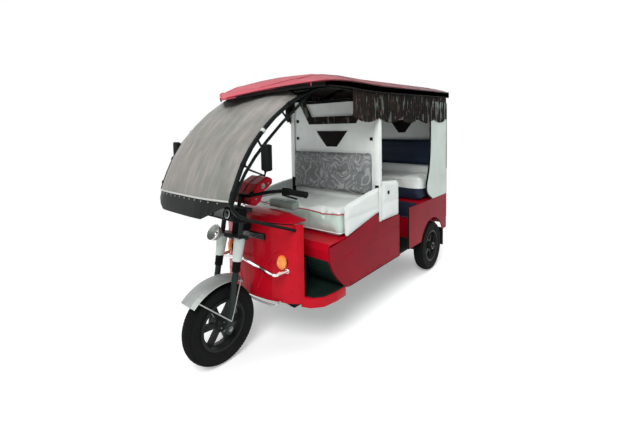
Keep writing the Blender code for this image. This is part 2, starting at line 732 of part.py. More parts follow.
def chassis_frame():
    """Two rails that rise over the axle, cross members, spring hangers and the neck."""
    half, bar, inset = RAIL_HEIGHT / 2, 0.04, 0.004
    path = rail_path()
    outline = strip([(x, z - half) for x, z in reversed(path)], RAIL_HEIGHT)
    floor_level, rear = path[0][1], path[-1][1]
    parts = []
    for side in (1, -1):
        middle = side * RAIL_Y
        parts.append(prism(outline, "Y", middle - RAIL_WIDTH / 2, middle + RAIL_WIDTH / 2))
        y = (middle - RAIL_WIDTH / 2 - 0.002, middle + RAIL_WIDTH / 2 + 0.002)
        for eye_x, rail_z in ((SPRING_FRONT_X, floor_level), (SPRING_REAR_X, rear)):
            x = (eye_x - 0.018, eye_x + 0.018)
            parts.append(box(x, y, (SPRING_EYE_Z + EYE_RADIUS + GAP, rail_z)))
    under_floor = (floor_level - half + inset, floor_level + half)
    for x in (NOSE_X - 0.155, BULKHEAD_X + 0.28, BULKHEAD_X - 0.22, TUB_X + 0.075):
        parts.append(box((x, x + bar), (-RAIL_Y, RAIL_Y), under_floor))
    for x in (REAR_AXLE_X - 0.193, REAR_END_X + 0.08):
        parts.append(box((x, x + bar), (-RAIL_Y, RAIL_Y), (rear - half + inset, rear + half - inset)))
    outer, bore = head_tube_parts()
    neck_y = (-NECK_HALF_WIDTH, NECK_HALF_WIDTH)
    low, high = neck_z() - NECK_HEIGHT / 2, neck_z() + NECK_HEIGHT / 2
    parts.append(box(NECK_POST, neck_y, (floor_level, high)))
    parts.append(box((NECK_POST[0] + 0.005, neck_front_x()), neck_y, (low, high)))
    frame = combined(parts[0], parts[1:] + [outer])
    named(cut(frame, [bore]), "chassis_frame", "frame_enamel")


def leaf_springs():
    """Three leaves under the axle, the longest with an eye at each end."""
    top = TYRE_RADIUS - AXLE_RADIUS - GAP
    sag = SPRING_EYE_Z - top + LEAF / 2
    steps = 8

    def line(reach, depth):
        xs = [REAR_AXLE_X - reach + 2 * reach * i / steps for i in range(steps + 1)]
        return [(x, top - depth + sag * ((x - REAR_AXLE_X) / SPRING_HALF_SPAN) ** 2) for x in xs]

    y = (RAIL_Y - LEAF_WIDTH / 2, RAIL_Y + LEAF_WIDTH / 2)
    reaches = (SPRING_HALF_SPAN - 0.004, SPRING_HALF_SPAN * 0.72, SPRING_HALF_SPAN * 0.42)
    parts = [
        prism(strip(line(reach, leaf * LEAF + LEAF_BITE), LEAF + LEAF_BITE), "Y", *y)
        for leaf, reach in enumerate(reaches, 1)
    ]
    for x in (SPRING_FRONT_X, SPRING_REAR_X):
        parts.append(cylinder(EYE_RADIUS, (x, y[0], SPRING_EYE_Z), (x, y[1], SPRING_EYE_Z), 12))
    pair(combined(parts[0], parts[1:]), "leaf_spring", "frame_enamel")


def rear_axle():
    """Axle tube with brake plates and spindles, its differential, and the drive motor ahead of it."""
    shoulder = REAR_TRACK / 2 - HUB_HALF_LENGTH - GAP
    tip = REAR_TRACK / 2 + HUB_HALF_LENGTH - 0.004
    plate, plate_inner, plate_outer = 0.100, shoulder - 0.020, shoulder - 0.006
    section = doubled([                 # radius, distance from the middle
        (0, tip), (SPINDLE_RADIUS, tip), (SPINDLE_RADIUS, shoulder), (AXLE_RADIUS, shoulder),
        (AXLE_RADIUS, plate_outer), (plate, plate_outer), (plate, plate_inner), (AXLE_RADIUS, plate_inner),
        (AXLE_RADIUS, 0.06), (0.060, 0.052), (0.082, 0.020),
    ])
    centre = Matrix.Translation((REAR_AXLE_X, 0, TYRE_RADIUS))
    axle = moved(turned(section, 20), centre @ Matrix.Rotation(pi / 2, 4, "X"))
    body = [                            # radius, distance ahead of the axle
        (0, 0.225), (0.060, 0.225), (0.074, 0.212), (0.074, 0.100), (0.056, 0.088), (0.056, 0.02), (0, 0.02),
    ]
    motor = moved(turned(body, 18), centre @ Matrix.Rotation(pi / 2, 4, "Y"))
    named(combined(axle, [motor]), "rear_axle", "frame_enamel")


def battery_pack():
    half = RAIL_Y - 0.01
    block = box((BULKHEAD_X + 0.08, SEAT_FRONT_X - 0.06), (-half, half), (FLOOR_Z + GAP, SEAT_DECK_Z - 0.09))
    named(softened(block, 0.006), "battery_pack", "black_plastic")


# Lower body

def nose_outline(half_width, inset, steps=8):
    ys = [half_width * (1 - 2 * i / steps) for i in range(steps + 1)]
    return [(nose_x(y) - inset, y) for y in ys]


def floor_pan():
    """Floor of cab and passenger compartment, with the step rails where it narrows to the nose."""
    front = nose_outline(FLOOR_FRONT_HALF, SHIELD_THICKNESS + 0.004)
    left = [(TUB_X + GAP, INNER_Y)] + FLOOR_SIDE
    outline = left + front + [(x, -y) for x, y in reversed(left)]
    plate = prism(outline, "Z", FLOOR_Z - FLOOR_THICKNESS, FLOOR_Z)
    slot = box(
        (NECK_POST[0] - GAP, NECK_POST[1] + GAP), (-NECK_HALF_WIDTH - GAP, NECK_HALF_WIDTH + GAP),
        (FLOOR_Z - 0.06, FLOOR_Z + 0.04),
    )
    path = [(SEAT_FRONT_X, INNER_Y)] + FLOOR_SIDE[:-1]
    step = softened(prism(strip(path, STEP_THICKNESS), "Z", FLOOR_Z - 0.047, FLOOR_Z + 0.012), 0.006)
    named(cut(combined(plate, [step, mirrored(step)]), [slot]), "floor_pan", "floor_mat")


def shield_path():
    """Plan line of the shield's face, with the rolled sides."""
    edge = SHIELD_HALF_WIDTH
    flank = [(nose_x(edge) - 0.012, edge + 0.024), (nose_x(edge) - 0.045, edge + 0.040)]
    return list(reversed(flank)) + nose_outline(edge, 0, 14) + [(x, -y) for x, y in flank]


def behind_shield():
    """A cutter for all that lies behind the shield's face, so that a piece ends on it."""
    path = [(x + SHIELD_SEAT, y) for x, y in shield_path()]
    rear_x = RAIL_FRONT_X - 0.2
    outline = path + [(rear_x, path[-1][1]), (rear_x, path[0][1])]
    return prism(outline, "Z", SHIELD_BOTTOM_Z, SHIELD_TOP_Z)


def front_shield():
    """Leg shield, bowed in plan, with rolled sides and the opening for the neck."""
    sheet = prism(strip(shield_path(), -SHIELD_THICKNESS), "Z", SHIELD_BOTTOM_Z, SHIELD_TOP_Z)
    hole = box(
        (NOSE_X - 0.1, NOSE_X + 0.1), (-NECK_HALF_WIDTH - GAP, NECK_HALF_WIDTH + GAP),
        (neck_z() - NECK_HEIGHT / 2 - GAP, neck_z() + NECK_HEIGHT / 2 + GAP),
    )
    named(cut(sheet, [hole]), "front_shield", "red_paint")


def dash_cowl():
    """Domed top of the nose, on the shield's upper edge."""
    wall, rise = 0.008, 0.045

    def skin(u, v):
        side = 2 * v - 1
        y = side * SHIELD_HALF_WIDTH
        rear = NOSE_X - 0.255 + 0.05 * side * side
        dome = (1 - side ** 4) * (1 - (2 * u - 1) ** 2)
        return rear + (nose_x(y) - rear) * u, y, SHIELD_TOP_Z + GAP + wall + rise * dome

    named(slab(8, 10, skin, lambda u, v: (0, 0, -wall)), "dash_cowl", "red_paint")


def dash_grille():
    """Black air slot across the shield below the cowl."""
    half, low, high, depth, stand = 0.150, SHIELD_TOP_Z - 0.112, SHIELD_TOP_Z - 0.072, 0.007, 0.001

    def skin(u, v):
        y = half * (2 * u - 1)
        return nose_x(y) + stand + depth, y, low + (high - low) * v

    named(slab(12, 3, skin, lambda u, v: (-depth, 0, 0)), "dash_grille", "black_plastic")


def turn_lamps():
    """Amber lamps on the shield's outer parts."""
    y, z, radius, depth, root = SHIELD_HALF_WIDTH - 0.068, SHIELD_TOP_Z - 0.242, 0.034, 0.026, -0.010
    section = [
        (0, depth), (radius * 0.55, depth * 0.92), (radius * 0.88, depth * 0.62), (radius, depth * 0.2),
        (radius, root), (0, root),
    ]
    slope = atan(2 * NOSE_BOW * y / SHIELD_HALF_WIDTH ** 2)
    place = (
        Matrix.Translation((nose_x(y) + 0.001, y, z)) @ Matrix.Rotation(slope, 4, "Z")
        @ Matrix.Rotation(pi / 2, 4, "Y") @ Matrix.Diagonal((1.35, 1, 1, 1))
    )
    pair(cut(moved(turned(section, 20), place), [behind_shield()]), "turn_lamp", "amber_lens")


def leg_guard():
    """Bright tube across the shield, its ends turned back to it."""
    reach, ahead, radius = SHIELD_HALF_WIDTH - 0.035, NOSE_X + 0.040, 0.011
    middle, bend, end = SHIELD_TOP_Z - 0.250, SHIELD_TOP_Z - 0.292, SHIELD_TOP_Z - 0.295
    half = [(ahead, 0, middle), (ahead, reach - 0.01, bend), (nose_x(reach) - 0.006, reach, end)]
    path = [(x, -y, z) for x, y, z in reversed(half[1:])] + half
    named(cut(tube(rounded(path, 0.028), radius, 2), [behind_shield()]), "leg_guard", "chrome")


def side_panels():
    """Red panels beside the seats, swept forward at the driver's feet."""
    top = [
        (SEAT_FRONT_X + 0.155, SEAT_DECK_Z - 0.025), (SEAT_FRONT_X - 0.040, SEAT_DECK_Z - 0.006),
        (BULKHEAD_X + 0.060, SEAT_DECK_Z + 0.085), (BULKHEAD_X + 0.030, BENCH_DECK_Z),
    ]
    outline = [(BENCH_X, BODY_BOTTOM_Z)] + SEAT_SIDE_FRONT + top + [(BENCH_X, BENCH_DECK_Z)]
    pair(prism(outline, "Y", BODY_HALF_WIDTH - PANEL, BODY_HALF_WIDTH), "side_panel", "red_paint")


def driver_seat_box():
    """Folded sheet under the driver: a swept front and a flat deck."""
    front = [(x, z) for x, z in SEAT_SIDE_FRONT if z > FLOOR_Z]
    deck = [
        (SEAT_FRONT_X + 0.140, SEAT_DECK_Z), (BULKHEAD_X + PILLAR / 2 + PILLAR_CLEARANCE, SEAT_DECK_Z),
    ]
    path = [(SEAT_FRONT_X - 0.030, FLOOR_Z + GAP)] + front + deck
    named(prism(strip(path, SEAT_BOX_SHEET), "Y", -INNER_Y, INNER_Y), "driver_seat_box", "red_paint")


def recesses(outline, face_x, outward):
    """A cutter that leaves a shallow field of an outline in an upright panel's face."""
    return prism(outline, "X", face_x - outward * FIELD_DEPTH, face_x + outward * 0.1)


def bulkhead():
    """Upright panel behind the driver, with two recessed fields over the backrest."""
    inner = INNER_Y - PILLAR - GAP
    half, top = BULKHEAD / 2, RAIL_TOP_Z
    wide, narrow = inner - 0.082, inner - 0.192
    window = [(wide, top - 0.082), (-wide, top - 0.082), (-narrow, top - 0.227), (narrow, top - 0.227)]
    notch = [(0.170, top - 0.297), (-0.170, top - 0.297), (-0.055, top - 0.440), (0.055, top - 0.440)]
    sheet = box((BULKHEAD_X - half, BULKHEAD_X + half), (-inner, inner), (FLOOR_Z + GAP, BULKHEAD_TOP_Z))
    cuts = [
        recesses(outline, BULKHEAD_X + side * half, side) for outline in (window, notch) for side in (1, -1)
    ]
    named(cut(sheet, cuts), "bulkhead", "white_vinyl")


def pillars():
    """Posts beside the bulkhead and at the rear corners, as one list of blocks."""
    half, top = PILLAR / 2, RAIL_TOP_Z - 0.003
    rear_x = REAR_PANEL_X + GAP
    blocks = []
    for side in (1, -1):
        front_y = (side * (INNER_Y - PILLAR), side * INNER_Y)
        rear_y = (side * (INNER_Y - REAR_PILLAR), side * INNER_Y)
        blocks.append(box((BULKHEAD_X - half, BULKHEAD_X + half), front_y, (FLOOR_Z + GAP, top)))
        blocks.append(box((rear_x, rear_x + REAR_PILLAR), rear_y, (TUB_DECK_Z + GAP, top)))
    return blocks


# Seats

def cushion(x, half_width, z, rounding, name, material):
    """A rounded block across the vehicle."""
    block = box(x, (-half_width, half_width), z)
    named(softened(block, rounding, 3, 30), name, material)


def seats():
    between_cheeks = BODY_HALF_WIDTH - CHEEK_THICKNESS - 2 * GAP
    back = BULKHEAD / 2 + GAP
    cushion(
        (BULKHEAD_X + PILLAR / 2 + 0.006, SEAT_FRONT_X), between_cheeks, (SEAT_DECK_Z + GAP, SEAT_TOP_Z),
        0.03, "driver_cushion", "pale_vinyl",
    )
    cushion(
        (BULKHEAD_X + back, BULKHEAD_X + back + 0.055), BODY_HALF_WIDTH - 0.065,
        (SEAT_TOP_Z + 0.025, SEAT_TOP_Z + 0.375), 0.018, "driver_backrest", "grey_print",
    )
    cushion(
        (BENCH_X + 0.003, BULKHEAD_X - BULKHEAD / 2 - 0.06), between_cheeks,
        (BENCH_DECK_Z + GAP, BENCH_TOP_Z), 0.025, "front_bench_cushion", "white_vinyl",
    )
    cushion(
        (BULKHEAD_X - back - 0.05, BULKHEAD_X - back), BODY_HALF_WIDTH - 0.075,
        (BENCH_TOP_Z + 0.03, BENCH_TOP_Z + 0.39), 0.018, "front_bench_backrest", "navy_vinyl",
    )
    cushion(
        (BACK_PANEL_X + 0.066, TUB_X - 0.065), BODY_HALF_WIDTH - 0.035,
        (TUB_DECK_Z + GAP, TUB_DECK_Z + 0.235), 0.03, "rear_cushion", "white_vinyl",
    )
    cushion(
        (BACK_PANEL_X + GAP, BACK_PANEL_X + 0.06), BODY_HALF_WIDTH - 0.075,
        (TUB_DECK_Z + 0.30, TUB_DECK_Z + 0.585), 0.02, "rear_backrest", "navy_vinyl",
    )


def seat_cheeks():
    """White side covers: one beside the driver's cushion, one beside the rear-facing bench."""
    y = (BODY_HALF_WIDTH - CHEEK_THICKNESS, BODY_HALF_WIDTH)
    rear = BULKHEAD_X + PILLAR / 2 + 0.0045
    foot = SEAT_DECK_Z + 0.086
    outline = [
        (SEAT_FRONT_X - 0.038, SEAT_DECK_Z + GAP), (SEAT_FRONT_X - 0.030, SEAT_TOP_Z + 0.015),
        (SEAT_FRONT_X - 0.060, SEAT_TOP_Z + 0.050), (rear + 0.118, SEAT_TOP_Z + 0.098),
        (rear, SEAT_TOP_Z + 0.108), (rear, foot), (rear + 0.040, foot + GAP),
    ]
    pair(softened(prism(outline, "Y", *y), 0.006), "driver_seat_side", "white_vinyl")
    front = BULKHEAD_X - PILLAR / 2 - PILLAR_CLEARANCE
    low = BENCH_DECK_Z + GAP
    bench = [
        (BENCH_X, low), (front, low), (front, BENCH_TOP_Z + 0.19), (BENCH_X + 0.04, BENCH_TOP_Z + 0.17),
        (BENCH_X, BENCH_TOP_Z + 0.135),
    ]
    pair(softened(prism(bench, "Y", *y), 0.006), "bench_side_pad", "white_vinyl")


def bench_box():
    front = BULKHEAD_X - PILLAR / 2 - PILLAR_CLEARANCE
    path = [(front, BENCH_DECK_Z), (BENCH_X, BENCH_DECK_Z), (BENCH_X, FLOOR_Z + GAP)]
    named(prism(strip(path, SEAT_BOX_SHEET), "Y", -INNER_Y, INNER_Y), "front_bench_box", "red_paint")


# Rear body

def rear_tub():
    """Box under the rear bench, with the inner walls of the wheel wells."""
    inner = TUB_INNER_Y - PANEL
    low, deck = BODY_BOTTOM_Z, TUB_DECK_Z - PANEL
    right = [(INNER_Y, deck), (TUB_INNER_Y, deck), (TUB_INNER_Y, low), (inner, low), (inner, deck)]
    section = [(-INNER_Y, TUB_DECK_Z), (INNER_Y, TUB_DECK_Z)] + right + [(-y, z) for y, z in reversed(right)]
    body = prism(section, "X", REAR_PANEL_X + GAP, TUB_X - PANEL / 2)
    wall = box((TUB_X - PANEL, TUB_X), (-INNER_Y, INNER_Y), (FLOOR_Z - FLOOR_THICKNESS + 0.002, TUB_DECK_Z))
    named(combined(body, [wall]), "rear_tub", "red_paint")


def rear_side_panels():
    """Red rear quarters, cut round the wheels."""
    back = REAR_PANEL_X + GAP
    reach = asin((BODY_BOTTOM_Z - TYRE_RADIUS) / ARCH_RADIUS) * 180 / pi
    arch = arc((REAR_AXLE_X, TYRE_RADIUS), ARCH_RADIUS, reach, 180 - reach, 14)
    outline = [(DOOR_END_X, BODY_BOTTOM_Z)] + arch + [
        (back, BODY_BOTTOM_Z), (back, TUB_DECK_Z), (DOOR_END_X, TUB_DECK_Z),
    ]
    pair(prism(outline, "Y", BODY_HALF_WIDTH - PANEL, BODY_HALF_WIDTH), "rear_side", "red_paint")


def tail_board():
    low = rail_path()[-1][1] + RAIL_HEIGHT / 2 + 0.012
    board = box((REAR_PANEL_X - PANEL, REAR_PANEL_X), (-BODY_HALF_WIDTH, BODY_HALF_WIDTH), (low, TAIL_TOP_Z))
    named(softened(board, 0.004), "tail_board", "red_paint")


def rear_hood():
    """Pale hood behind and beside the rear bench, with its window."""
    x, top = (REAR_PANEL_X - PANEL, REAR_PANEL_X), RAIL_TOP_Z - 0.03
    back = box(x, (-BODY_HALF_WIDTH, BODY_HALF_WIDTH), (TAIL_TOP_Z + GAP, top))
    window = box((x[0] - 0.1, x[1] + 0.1), (-0.28, 0.28), (RAIL_TOP_Z - 0.492, RAIL_TOP_Z - 0.192))
    curve = [                           # ahead of the tail, over the tub's deck
        (0.375, GAP), (0.490, 0.070), (0.510, 0.150), (0.450, 0.310), (0.420, 0.530), (0.415, 0.880),
    ]
    front = [(REAR_PANEL_X + ahead, TUB_DECK_Z + rise) for ahead, rise in curve]
    start, rear_x, rear_z = REAR_PANEL_X + GAP, REAR_PANEL_X - 0.004, TAIL_TOP_Z + 0.010
    outline = [(start, TUB_DECK_Z + GAP)] + front + [
        (REAR_PANEL_X + 0.400, top), (rear_x, top), (rear_x, rear_z), (start, rear_z),
    ]
    side = prism(outline, "Y", BODY_HALF_WIDTH - PANEL, BODY_HALF_WIDTH)
    named(cut(combined(back, [side, mirrored(side)]), [window]), "rear_hood", "curtain")


def bench_back_panel():
    """White panel behind the rear bench, with one recessed field."""
    half, top = INNER_Y - 0.03, RAIL_TOP_Z
    notch = [(0.150, top - 0.192), (-0.150, top - 0.192), (-0.040, top - 0.342), (0.040, top - 0.342)]
    sheet = box((BACK_PANEL_X - PANEL, BACK_PANEL_X), (-half, half), (TUB_DECK_Z + GAP, top - 0.04))
    named(cut(sheet, [recesses(notch, BACK_PANEL_X, 1)]), "bench_back_panel", "white_vinyl")


def tail_lamps():
    x = REAR_PANEL_X - PANEL - GAP
    outer, thickness = BODY_HALF_WIDTH - 0.025, 0.0075
    lamp = box((x - thickness, x), (outer - 0.09, outer), (TUB_DECK_Z - 0.06, TUB_DECK_Z + 0.06))
    pair(softened(lamp, 0.003), "tail_lamp", "red_lens")


def rear_bumper():
    half, middle = BODY_HALF_WIDTH - 0.015, rail_path()[-1][1]
    bar = box((REAR_END_X, BUMPER_FACE_X), (-half, half), (middle - 0.035, middle + 0.035))
    named(softened(bar, 0.006, 2), "rear_bumper", "silver")


# Roof and windscreen

def roof_shell():
    """Crowned roof that runs down into the front visor, with a lip along each side."""
    rows = len(ROOF_SIDES) + 1

    def crown_row(v):
        """Which line of the crown a row of the sheet belongs to, and whether it is a lip's lower edge."""
        row = round(v * rows)
        return min(max(row - 1, 0), len(ROOF_SIDES) - 1), row in (0, rows)

    def skin(u, v):
        x = roof_x(u)
        index, lip = crown_row(v)
        side = ROOF_SIDES[index]
        share = min(1.0, visor_share(x))
        drop = (LIP_DROP + (LIP_TIP_DROP - LIP_DROP) * share) * lip
        return x, side * roof_half_width(x), roof_top(x, side) - drop

    def inward(u, v):
        index, lip = crown_row(v)
        side = ROOF_SIDES[index]
        return 0, -side * LIP_THICKNESS * (abs(side) == 1.0), -ROOF_THICKNESS * (not lip)

    named(slab(ROOF_STATIONS, rows, skin, inward), "roof", "roof_red")


def roof_bow(x, gap):
    """One cross bar whose top follows the roof's underside and whose ends rest on the rails."""
    half, depth, foot = 0.009, 0.022, RAIL_TOP_Z - 0.008
    outer, inner = RAIL_OUTER_Y, RAIL_OUTER_Y - ROOF_RAIL
    lines = [ROOF_HALF_WIDTH * side for side in reversed(ROOF_SIDES) if 0 < side < 1]
    ys = [outer] + [y for y in lines if y < inner]
    ys = ys + [0.0] + [-y for y in reversed(ys)]
    top = [(y, min(roof_under(x - half, y), roof_under(x + half, y)) - gap) for y in ys]
    under = [(y, z - depth) for y, z in top[2:-2]]
    outline = top + [(-outer, foot), (-inner, foot)] + list(reversed(under)) + [(inner, foot), (outer, foot)]
    return prism(outline, "X", x - half, x + half)


def cabin_frame():
    """Posts and side rails, with bows that follow the roof's underside."""
    z = (RAIL_TOP_Z - ROOF_RAIL, RAIL_TOP_Z)
    rails = [
        box((ROOF_REAR_X + 0.02, HEADER_X[1]), (side * RAIL_OUTER_Y, side * (RAIL_OUTER_Y - ROOF_RAIL)), z)
        for side in (1, -1)
    ]
    header = box(HEADER_X, (-RAIL_OUTER_Y, RAIL_OUTER_Y), z)
    first, last, count = ROOF_REAR_X + 0.03, BULKHEAD_X - 0.07, 4
    bows = [roof_bow(first + (last - first) * i / (count - 1), BOW_GAP) for i in range(count)]
    bows.append(roof_bow(VISOR_START_X + 0.14, VISOR_BOW_GAP))
    named(combined(rails[0], rails[1:] + bows + [header] + pillars()), "cabin_frame", "frame_enamel")


def valances():
    """Gathered cloth edging that hangs inside the roof's lips."""
    folds, long_folds, drop, wave, wall = 7, 3, 0.16, 0.02, 0.003
    length = VALANCE_FRONT_X - VALANCE_REAR_X

    def skin(u, v):
        x = VALANCE_REAR_X + u * length
        swing = VALANCE_SWING * sin(2 * pi * folds * u) * (1 - v)
        hem = drop + wave * cos(2 * pi * u * long_folds)
        return x, VALANCE_Y + swing, roof_under(x, VALANCE_Y) - 2 * GAP - hem * (1 - v)

    pair(slab(28, 1, skin, lambda u, v: (0, -wall, 0)), "valance", "valance_cloth")


def screen_lines():
    """The points down the windscreen's side in the vehicle's frame, and the outward way at each."""
    points = [Vector((NOSE_X + x, RAIL_TOP_Z - drop)) for x, drop in SCREEN_SIDE + [BAND_BOTTOM]]
    ways = []
    for index in range(len(points)):
        run = points[min(index + 1, len(points) - 1)] - points[max(index - 1, 0)]
        ways.append(Vector((-run.y, run.x)).normalized())
    return points, ways


def bowed_sheet(points, ways, corner_rise, columns=14):
    """A sheet bowed between the side tubes; its lowest corners may rise."""
    rows = len(points) - 1

    def skin(u, v):
        index = round((1 - v) * rows)
        side = 2 * u - 1
        spot = points[index] + ways[index] * SCREEN_BULGE * (1 - side ** 4)
        rise = corner_rise * max(0.0, (abs(side) - 0.6) / 0.4) * (index == rows)
        return spot.x, side * SCREEN_HALF_WIDTH, spot.y + rise

    return slab(columns, rows, skin, lambda u, v: (-SCREEN_THICKNESS * 0.75, 0, -SCREEN_THICKNESS * 0.66))


def windscreen():
    """Tinted sheet bowed between the side tubes, over a dark lower band."""
    points, ways = screen_lines()
    named(bowed_sheet(points[:-1], ways[:-1], 0.0), "windscreen", "screen_sheet")
    down = (points[-2] - points[-3]).normalized()
    band_top = points[-2] + down * GAP * 1.25
    band = bowed_sheet([band_top, points[-1]], ways[-2:], 0.085)
    named(band, "windscreen_band", "band_plastic")


def brace_path():
    return [(NOSE_X + x, SCREEN_TUBE_Y, RAIL_TOP_Z - drop) for x, drop in BRACE]


def windscreen_frames():
    """Side frames: a front tube along the sheet, a brace behind it, rungs and a lower arm to the shield."""
    y, top_z = SCREEN_TUBE_Y, RAIL_TOP_Z
    start = [(HEADER_X[1] - 0.01, y, top_z - ROOF_RAIL / 2), (NOSE_X - 0.243, y, top_z - 0.040)]
    side = [(point.x, y, point.y) for point in screen_lines()[0][:-1]]
    turn = [(0.381, y, 0.686), (0.350, y, 0.722), (0.285, y - 0.004, 0.760)]
    foot = (NOSE_X - 0.115, SHIELD_HALF_WIDTH + 0.010, SHIELD_TOP_Z - 0.045)
    front = start + side + [(NOSE_X + x, across, top_z - drop) for x, across, drop in turn] + [foot]
    rungs = [                           # ahead of the nose and below the rails, at each end
        ((0.022, 0.175), (-0.018, 0.215)), ((0.207, 0.332), (0.177, 0.380)),
        ((0.309, 0.464), (0.272, 0.482)),
    ]
    parts = [tube(front, SCREEN_TUBE_RADIUS, 1), tube(brace_path(), BRACE_RADIUS, 1)]
    for ends in rungs:
        parts.append(tube([(NOSE_X + x, y, top_z - drop) for x, drop in ends], 0.006, 1))
    header = box(
        (HEADER_X[0], HEADER_X[1] + GAP), (0, BODY_HALF_WIDTH),
        (RAIL_TOP_Z - 2 * ROOF_RAIL, RAIL_TOP_Z + ROOF_RAIL),
    )
    frame = cut(combined(parts[0], parts[1:]), [behind_shield(), header])
    pair(frame, "windscreen_frame", "frame_enamel")


def mirrors():
    """Door mirrors on arms that end on the braces."""
    x, y, z = NOSE_X + 0.220, BODY_HALF_WIDTH - 0.050, RAIL_TOP_Z - 0.497
    width, height, depth = 0.067, 0.140, 0.025
    shell = softened(box((x, x + depth), (y, y + width), (z, z + height)), 0.010, 2)
    path = brace_path()
    seat = Vector(path[MIRROR_SEAT]).lerp(Vector(path[MIRROR_SEAT + 1]), 0.765)
    arm = tube([(x + 0.013, y + 0.030, z + 0.010), (x + 0.015, y + 0.020, z - 0.025), tuple(seat)], 0.006, 1)
    brace = tube(path, BRACE_RADIUS + GAP, 1)
    pair(cut(combined(shell, [arm]), [brace]), "mirror", "black_plastic")


# The whole vehicle

def steering_group():
    steering = axis_empty("steering_axis", steering_matrix().translation, (0, -RAKE, 0))
    spin = axis_empty("front_axle", (FORK_OFFSET, 0, 0), (0, RAKE, 0), steering)
    for build in (fork, handlebar, handlebar_cowl, headlamp, horn, fender):
        build(steering)
    wheel("front", spin)


def rear_wheels():
    for side, y in (("left", REAR_TRACK / 2), ("right", -REAR_TRACK / 2)):
        wheel(f"rear_{side}", axis_empty(f"rear_axle_{side}", (REAR_AXLE_X, y, TYRE_RADIUS)))


def build_vehicle():
    clear_scene()
    steering_group()
    rear_wheels()
    for build in (
        chassis_frame, leaf_springs, rear_axle, battery_pack, floor_pan, front_shield, dash_cowl, dash_grille,
        turn_lamps, leg_guard, side_panels, driver_seat_box, bulkhead, seats, seat_cheeks,
        bench_box, rear_tub, rear_side_panels, tail_board, rear_hood, bench_back_panel, tail_lamps,
        rear_bumper, roof_shell, cabin_frame, valances, windscreen, windscreen_frames, mirrors,
    ):
        build()


build_vehicle()
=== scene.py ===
"""Dressed scene of a passenger electric rickshaw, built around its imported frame.

Metres, +X forward, +Y to the driver's left, +Z up, with the origin on the ground under the
middle of the vehicle. Every class below dresses one sub-assembly and adds its small pieces.
"""

from __future__ import annotations

import json
import logging
import math
from dataclasses import dataclass, replace
from enum import Enum
from typing import Callable, Iterable, Sequence

import bmesh
import bpy
from bmesh.types import BMesh, BMFace, BMVert
from bpy.types import Node, Object
from mathutils import Matrix, Vector
from mathutils.bvhtree import BVHTree
from mathutils.geometry import convex_hull_2d

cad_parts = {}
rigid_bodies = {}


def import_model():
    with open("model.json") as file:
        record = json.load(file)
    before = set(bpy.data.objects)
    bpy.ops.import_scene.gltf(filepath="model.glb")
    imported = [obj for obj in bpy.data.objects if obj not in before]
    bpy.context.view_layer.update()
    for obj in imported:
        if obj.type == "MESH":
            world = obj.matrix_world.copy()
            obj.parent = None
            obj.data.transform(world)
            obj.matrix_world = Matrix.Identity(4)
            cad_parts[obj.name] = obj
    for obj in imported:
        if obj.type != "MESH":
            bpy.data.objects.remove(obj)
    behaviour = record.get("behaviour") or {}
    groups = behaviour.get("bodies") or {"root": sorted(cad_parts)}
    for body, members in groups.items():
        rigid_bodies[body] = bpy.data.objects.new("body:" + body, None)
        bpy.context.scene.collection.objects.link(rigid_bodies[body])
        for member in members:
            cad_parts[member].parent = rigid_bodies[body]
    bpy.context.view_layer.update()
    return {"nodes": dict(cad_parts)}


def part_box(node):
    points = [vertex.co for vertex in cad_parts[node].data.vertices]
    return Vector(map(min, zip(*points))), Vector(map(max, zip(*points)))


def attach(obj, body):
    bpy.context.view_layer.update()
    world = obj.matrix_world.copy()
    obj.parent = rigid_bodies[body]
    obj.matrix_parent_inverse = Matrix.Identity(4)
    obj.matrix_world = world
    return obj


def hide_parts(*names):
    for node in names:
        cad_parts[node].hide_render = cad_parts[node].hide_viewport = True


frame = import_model()

LOG = logging.getLogger("rickshaw")
Colour = tuple[float, float, float]
Point = Sequence[float]
Socket = bpy.types.NodeSocket

# Sizes of the frame that the trim is placed by
BODY_HALF = 0.475
FLOOR_Z = 0.362
RAKE = math.radians(10.6)
FORK_OFFSET = 0.035
LEG_Y = 0.09
TYRE_RADIUS = 0.243
REAR_TRACK = 0.844
FRONT_HUB = Vector((1.152, 0.0, TYRE_RADIUS))
REAR_AXLE_X = -1.007
NOSE_X = 0.915
NOSE_CURVE = 0.75
NEIGHBOUR_GAP = 0.0006      # between a soft piece and its neighbours
MERGE = 1e-5                # vertices closer than this are one
ROOF_REAR = -1.390
VISOR_START_X = 0.300
VISOR_TIP_X = 1.075
VISOR_TAPER = 0.375         # length over which the visor narrows to its tip
ROOF_HALF = 0.494
TIP_HALF = 0.03
SIDES = ((1, "left"), (-1, "right"))
STEM = Matrix.Translation(FRONT_HUB - FORK_OFFSET * Vector((math.cos(RAKE), 0, math.sin(RAKE)))) @ Matrix.Rotation(
    -RAKE, 4, "Y",
)


class Body(Enum):
    """The moving groups of the frame."""

    ROOT = "root"
    STEERING = "steering"
    FRONT_WHEEL = "front_wheel"
    REAR_LEFT = "rear_left_wheel"
    REAR_RIGHT = "rear_right_wheel"


class Surface(Enum):
    """How a finish's surface is broken up."""

    PAINT = "paint"
    LEATHER = "leather"
    CLOTH = "cloth"
    RUBBER = "rubber"
    PLASTIC = "plastic"
    METAL = "metal"
    CLEAR = "clear"


# Shader effects


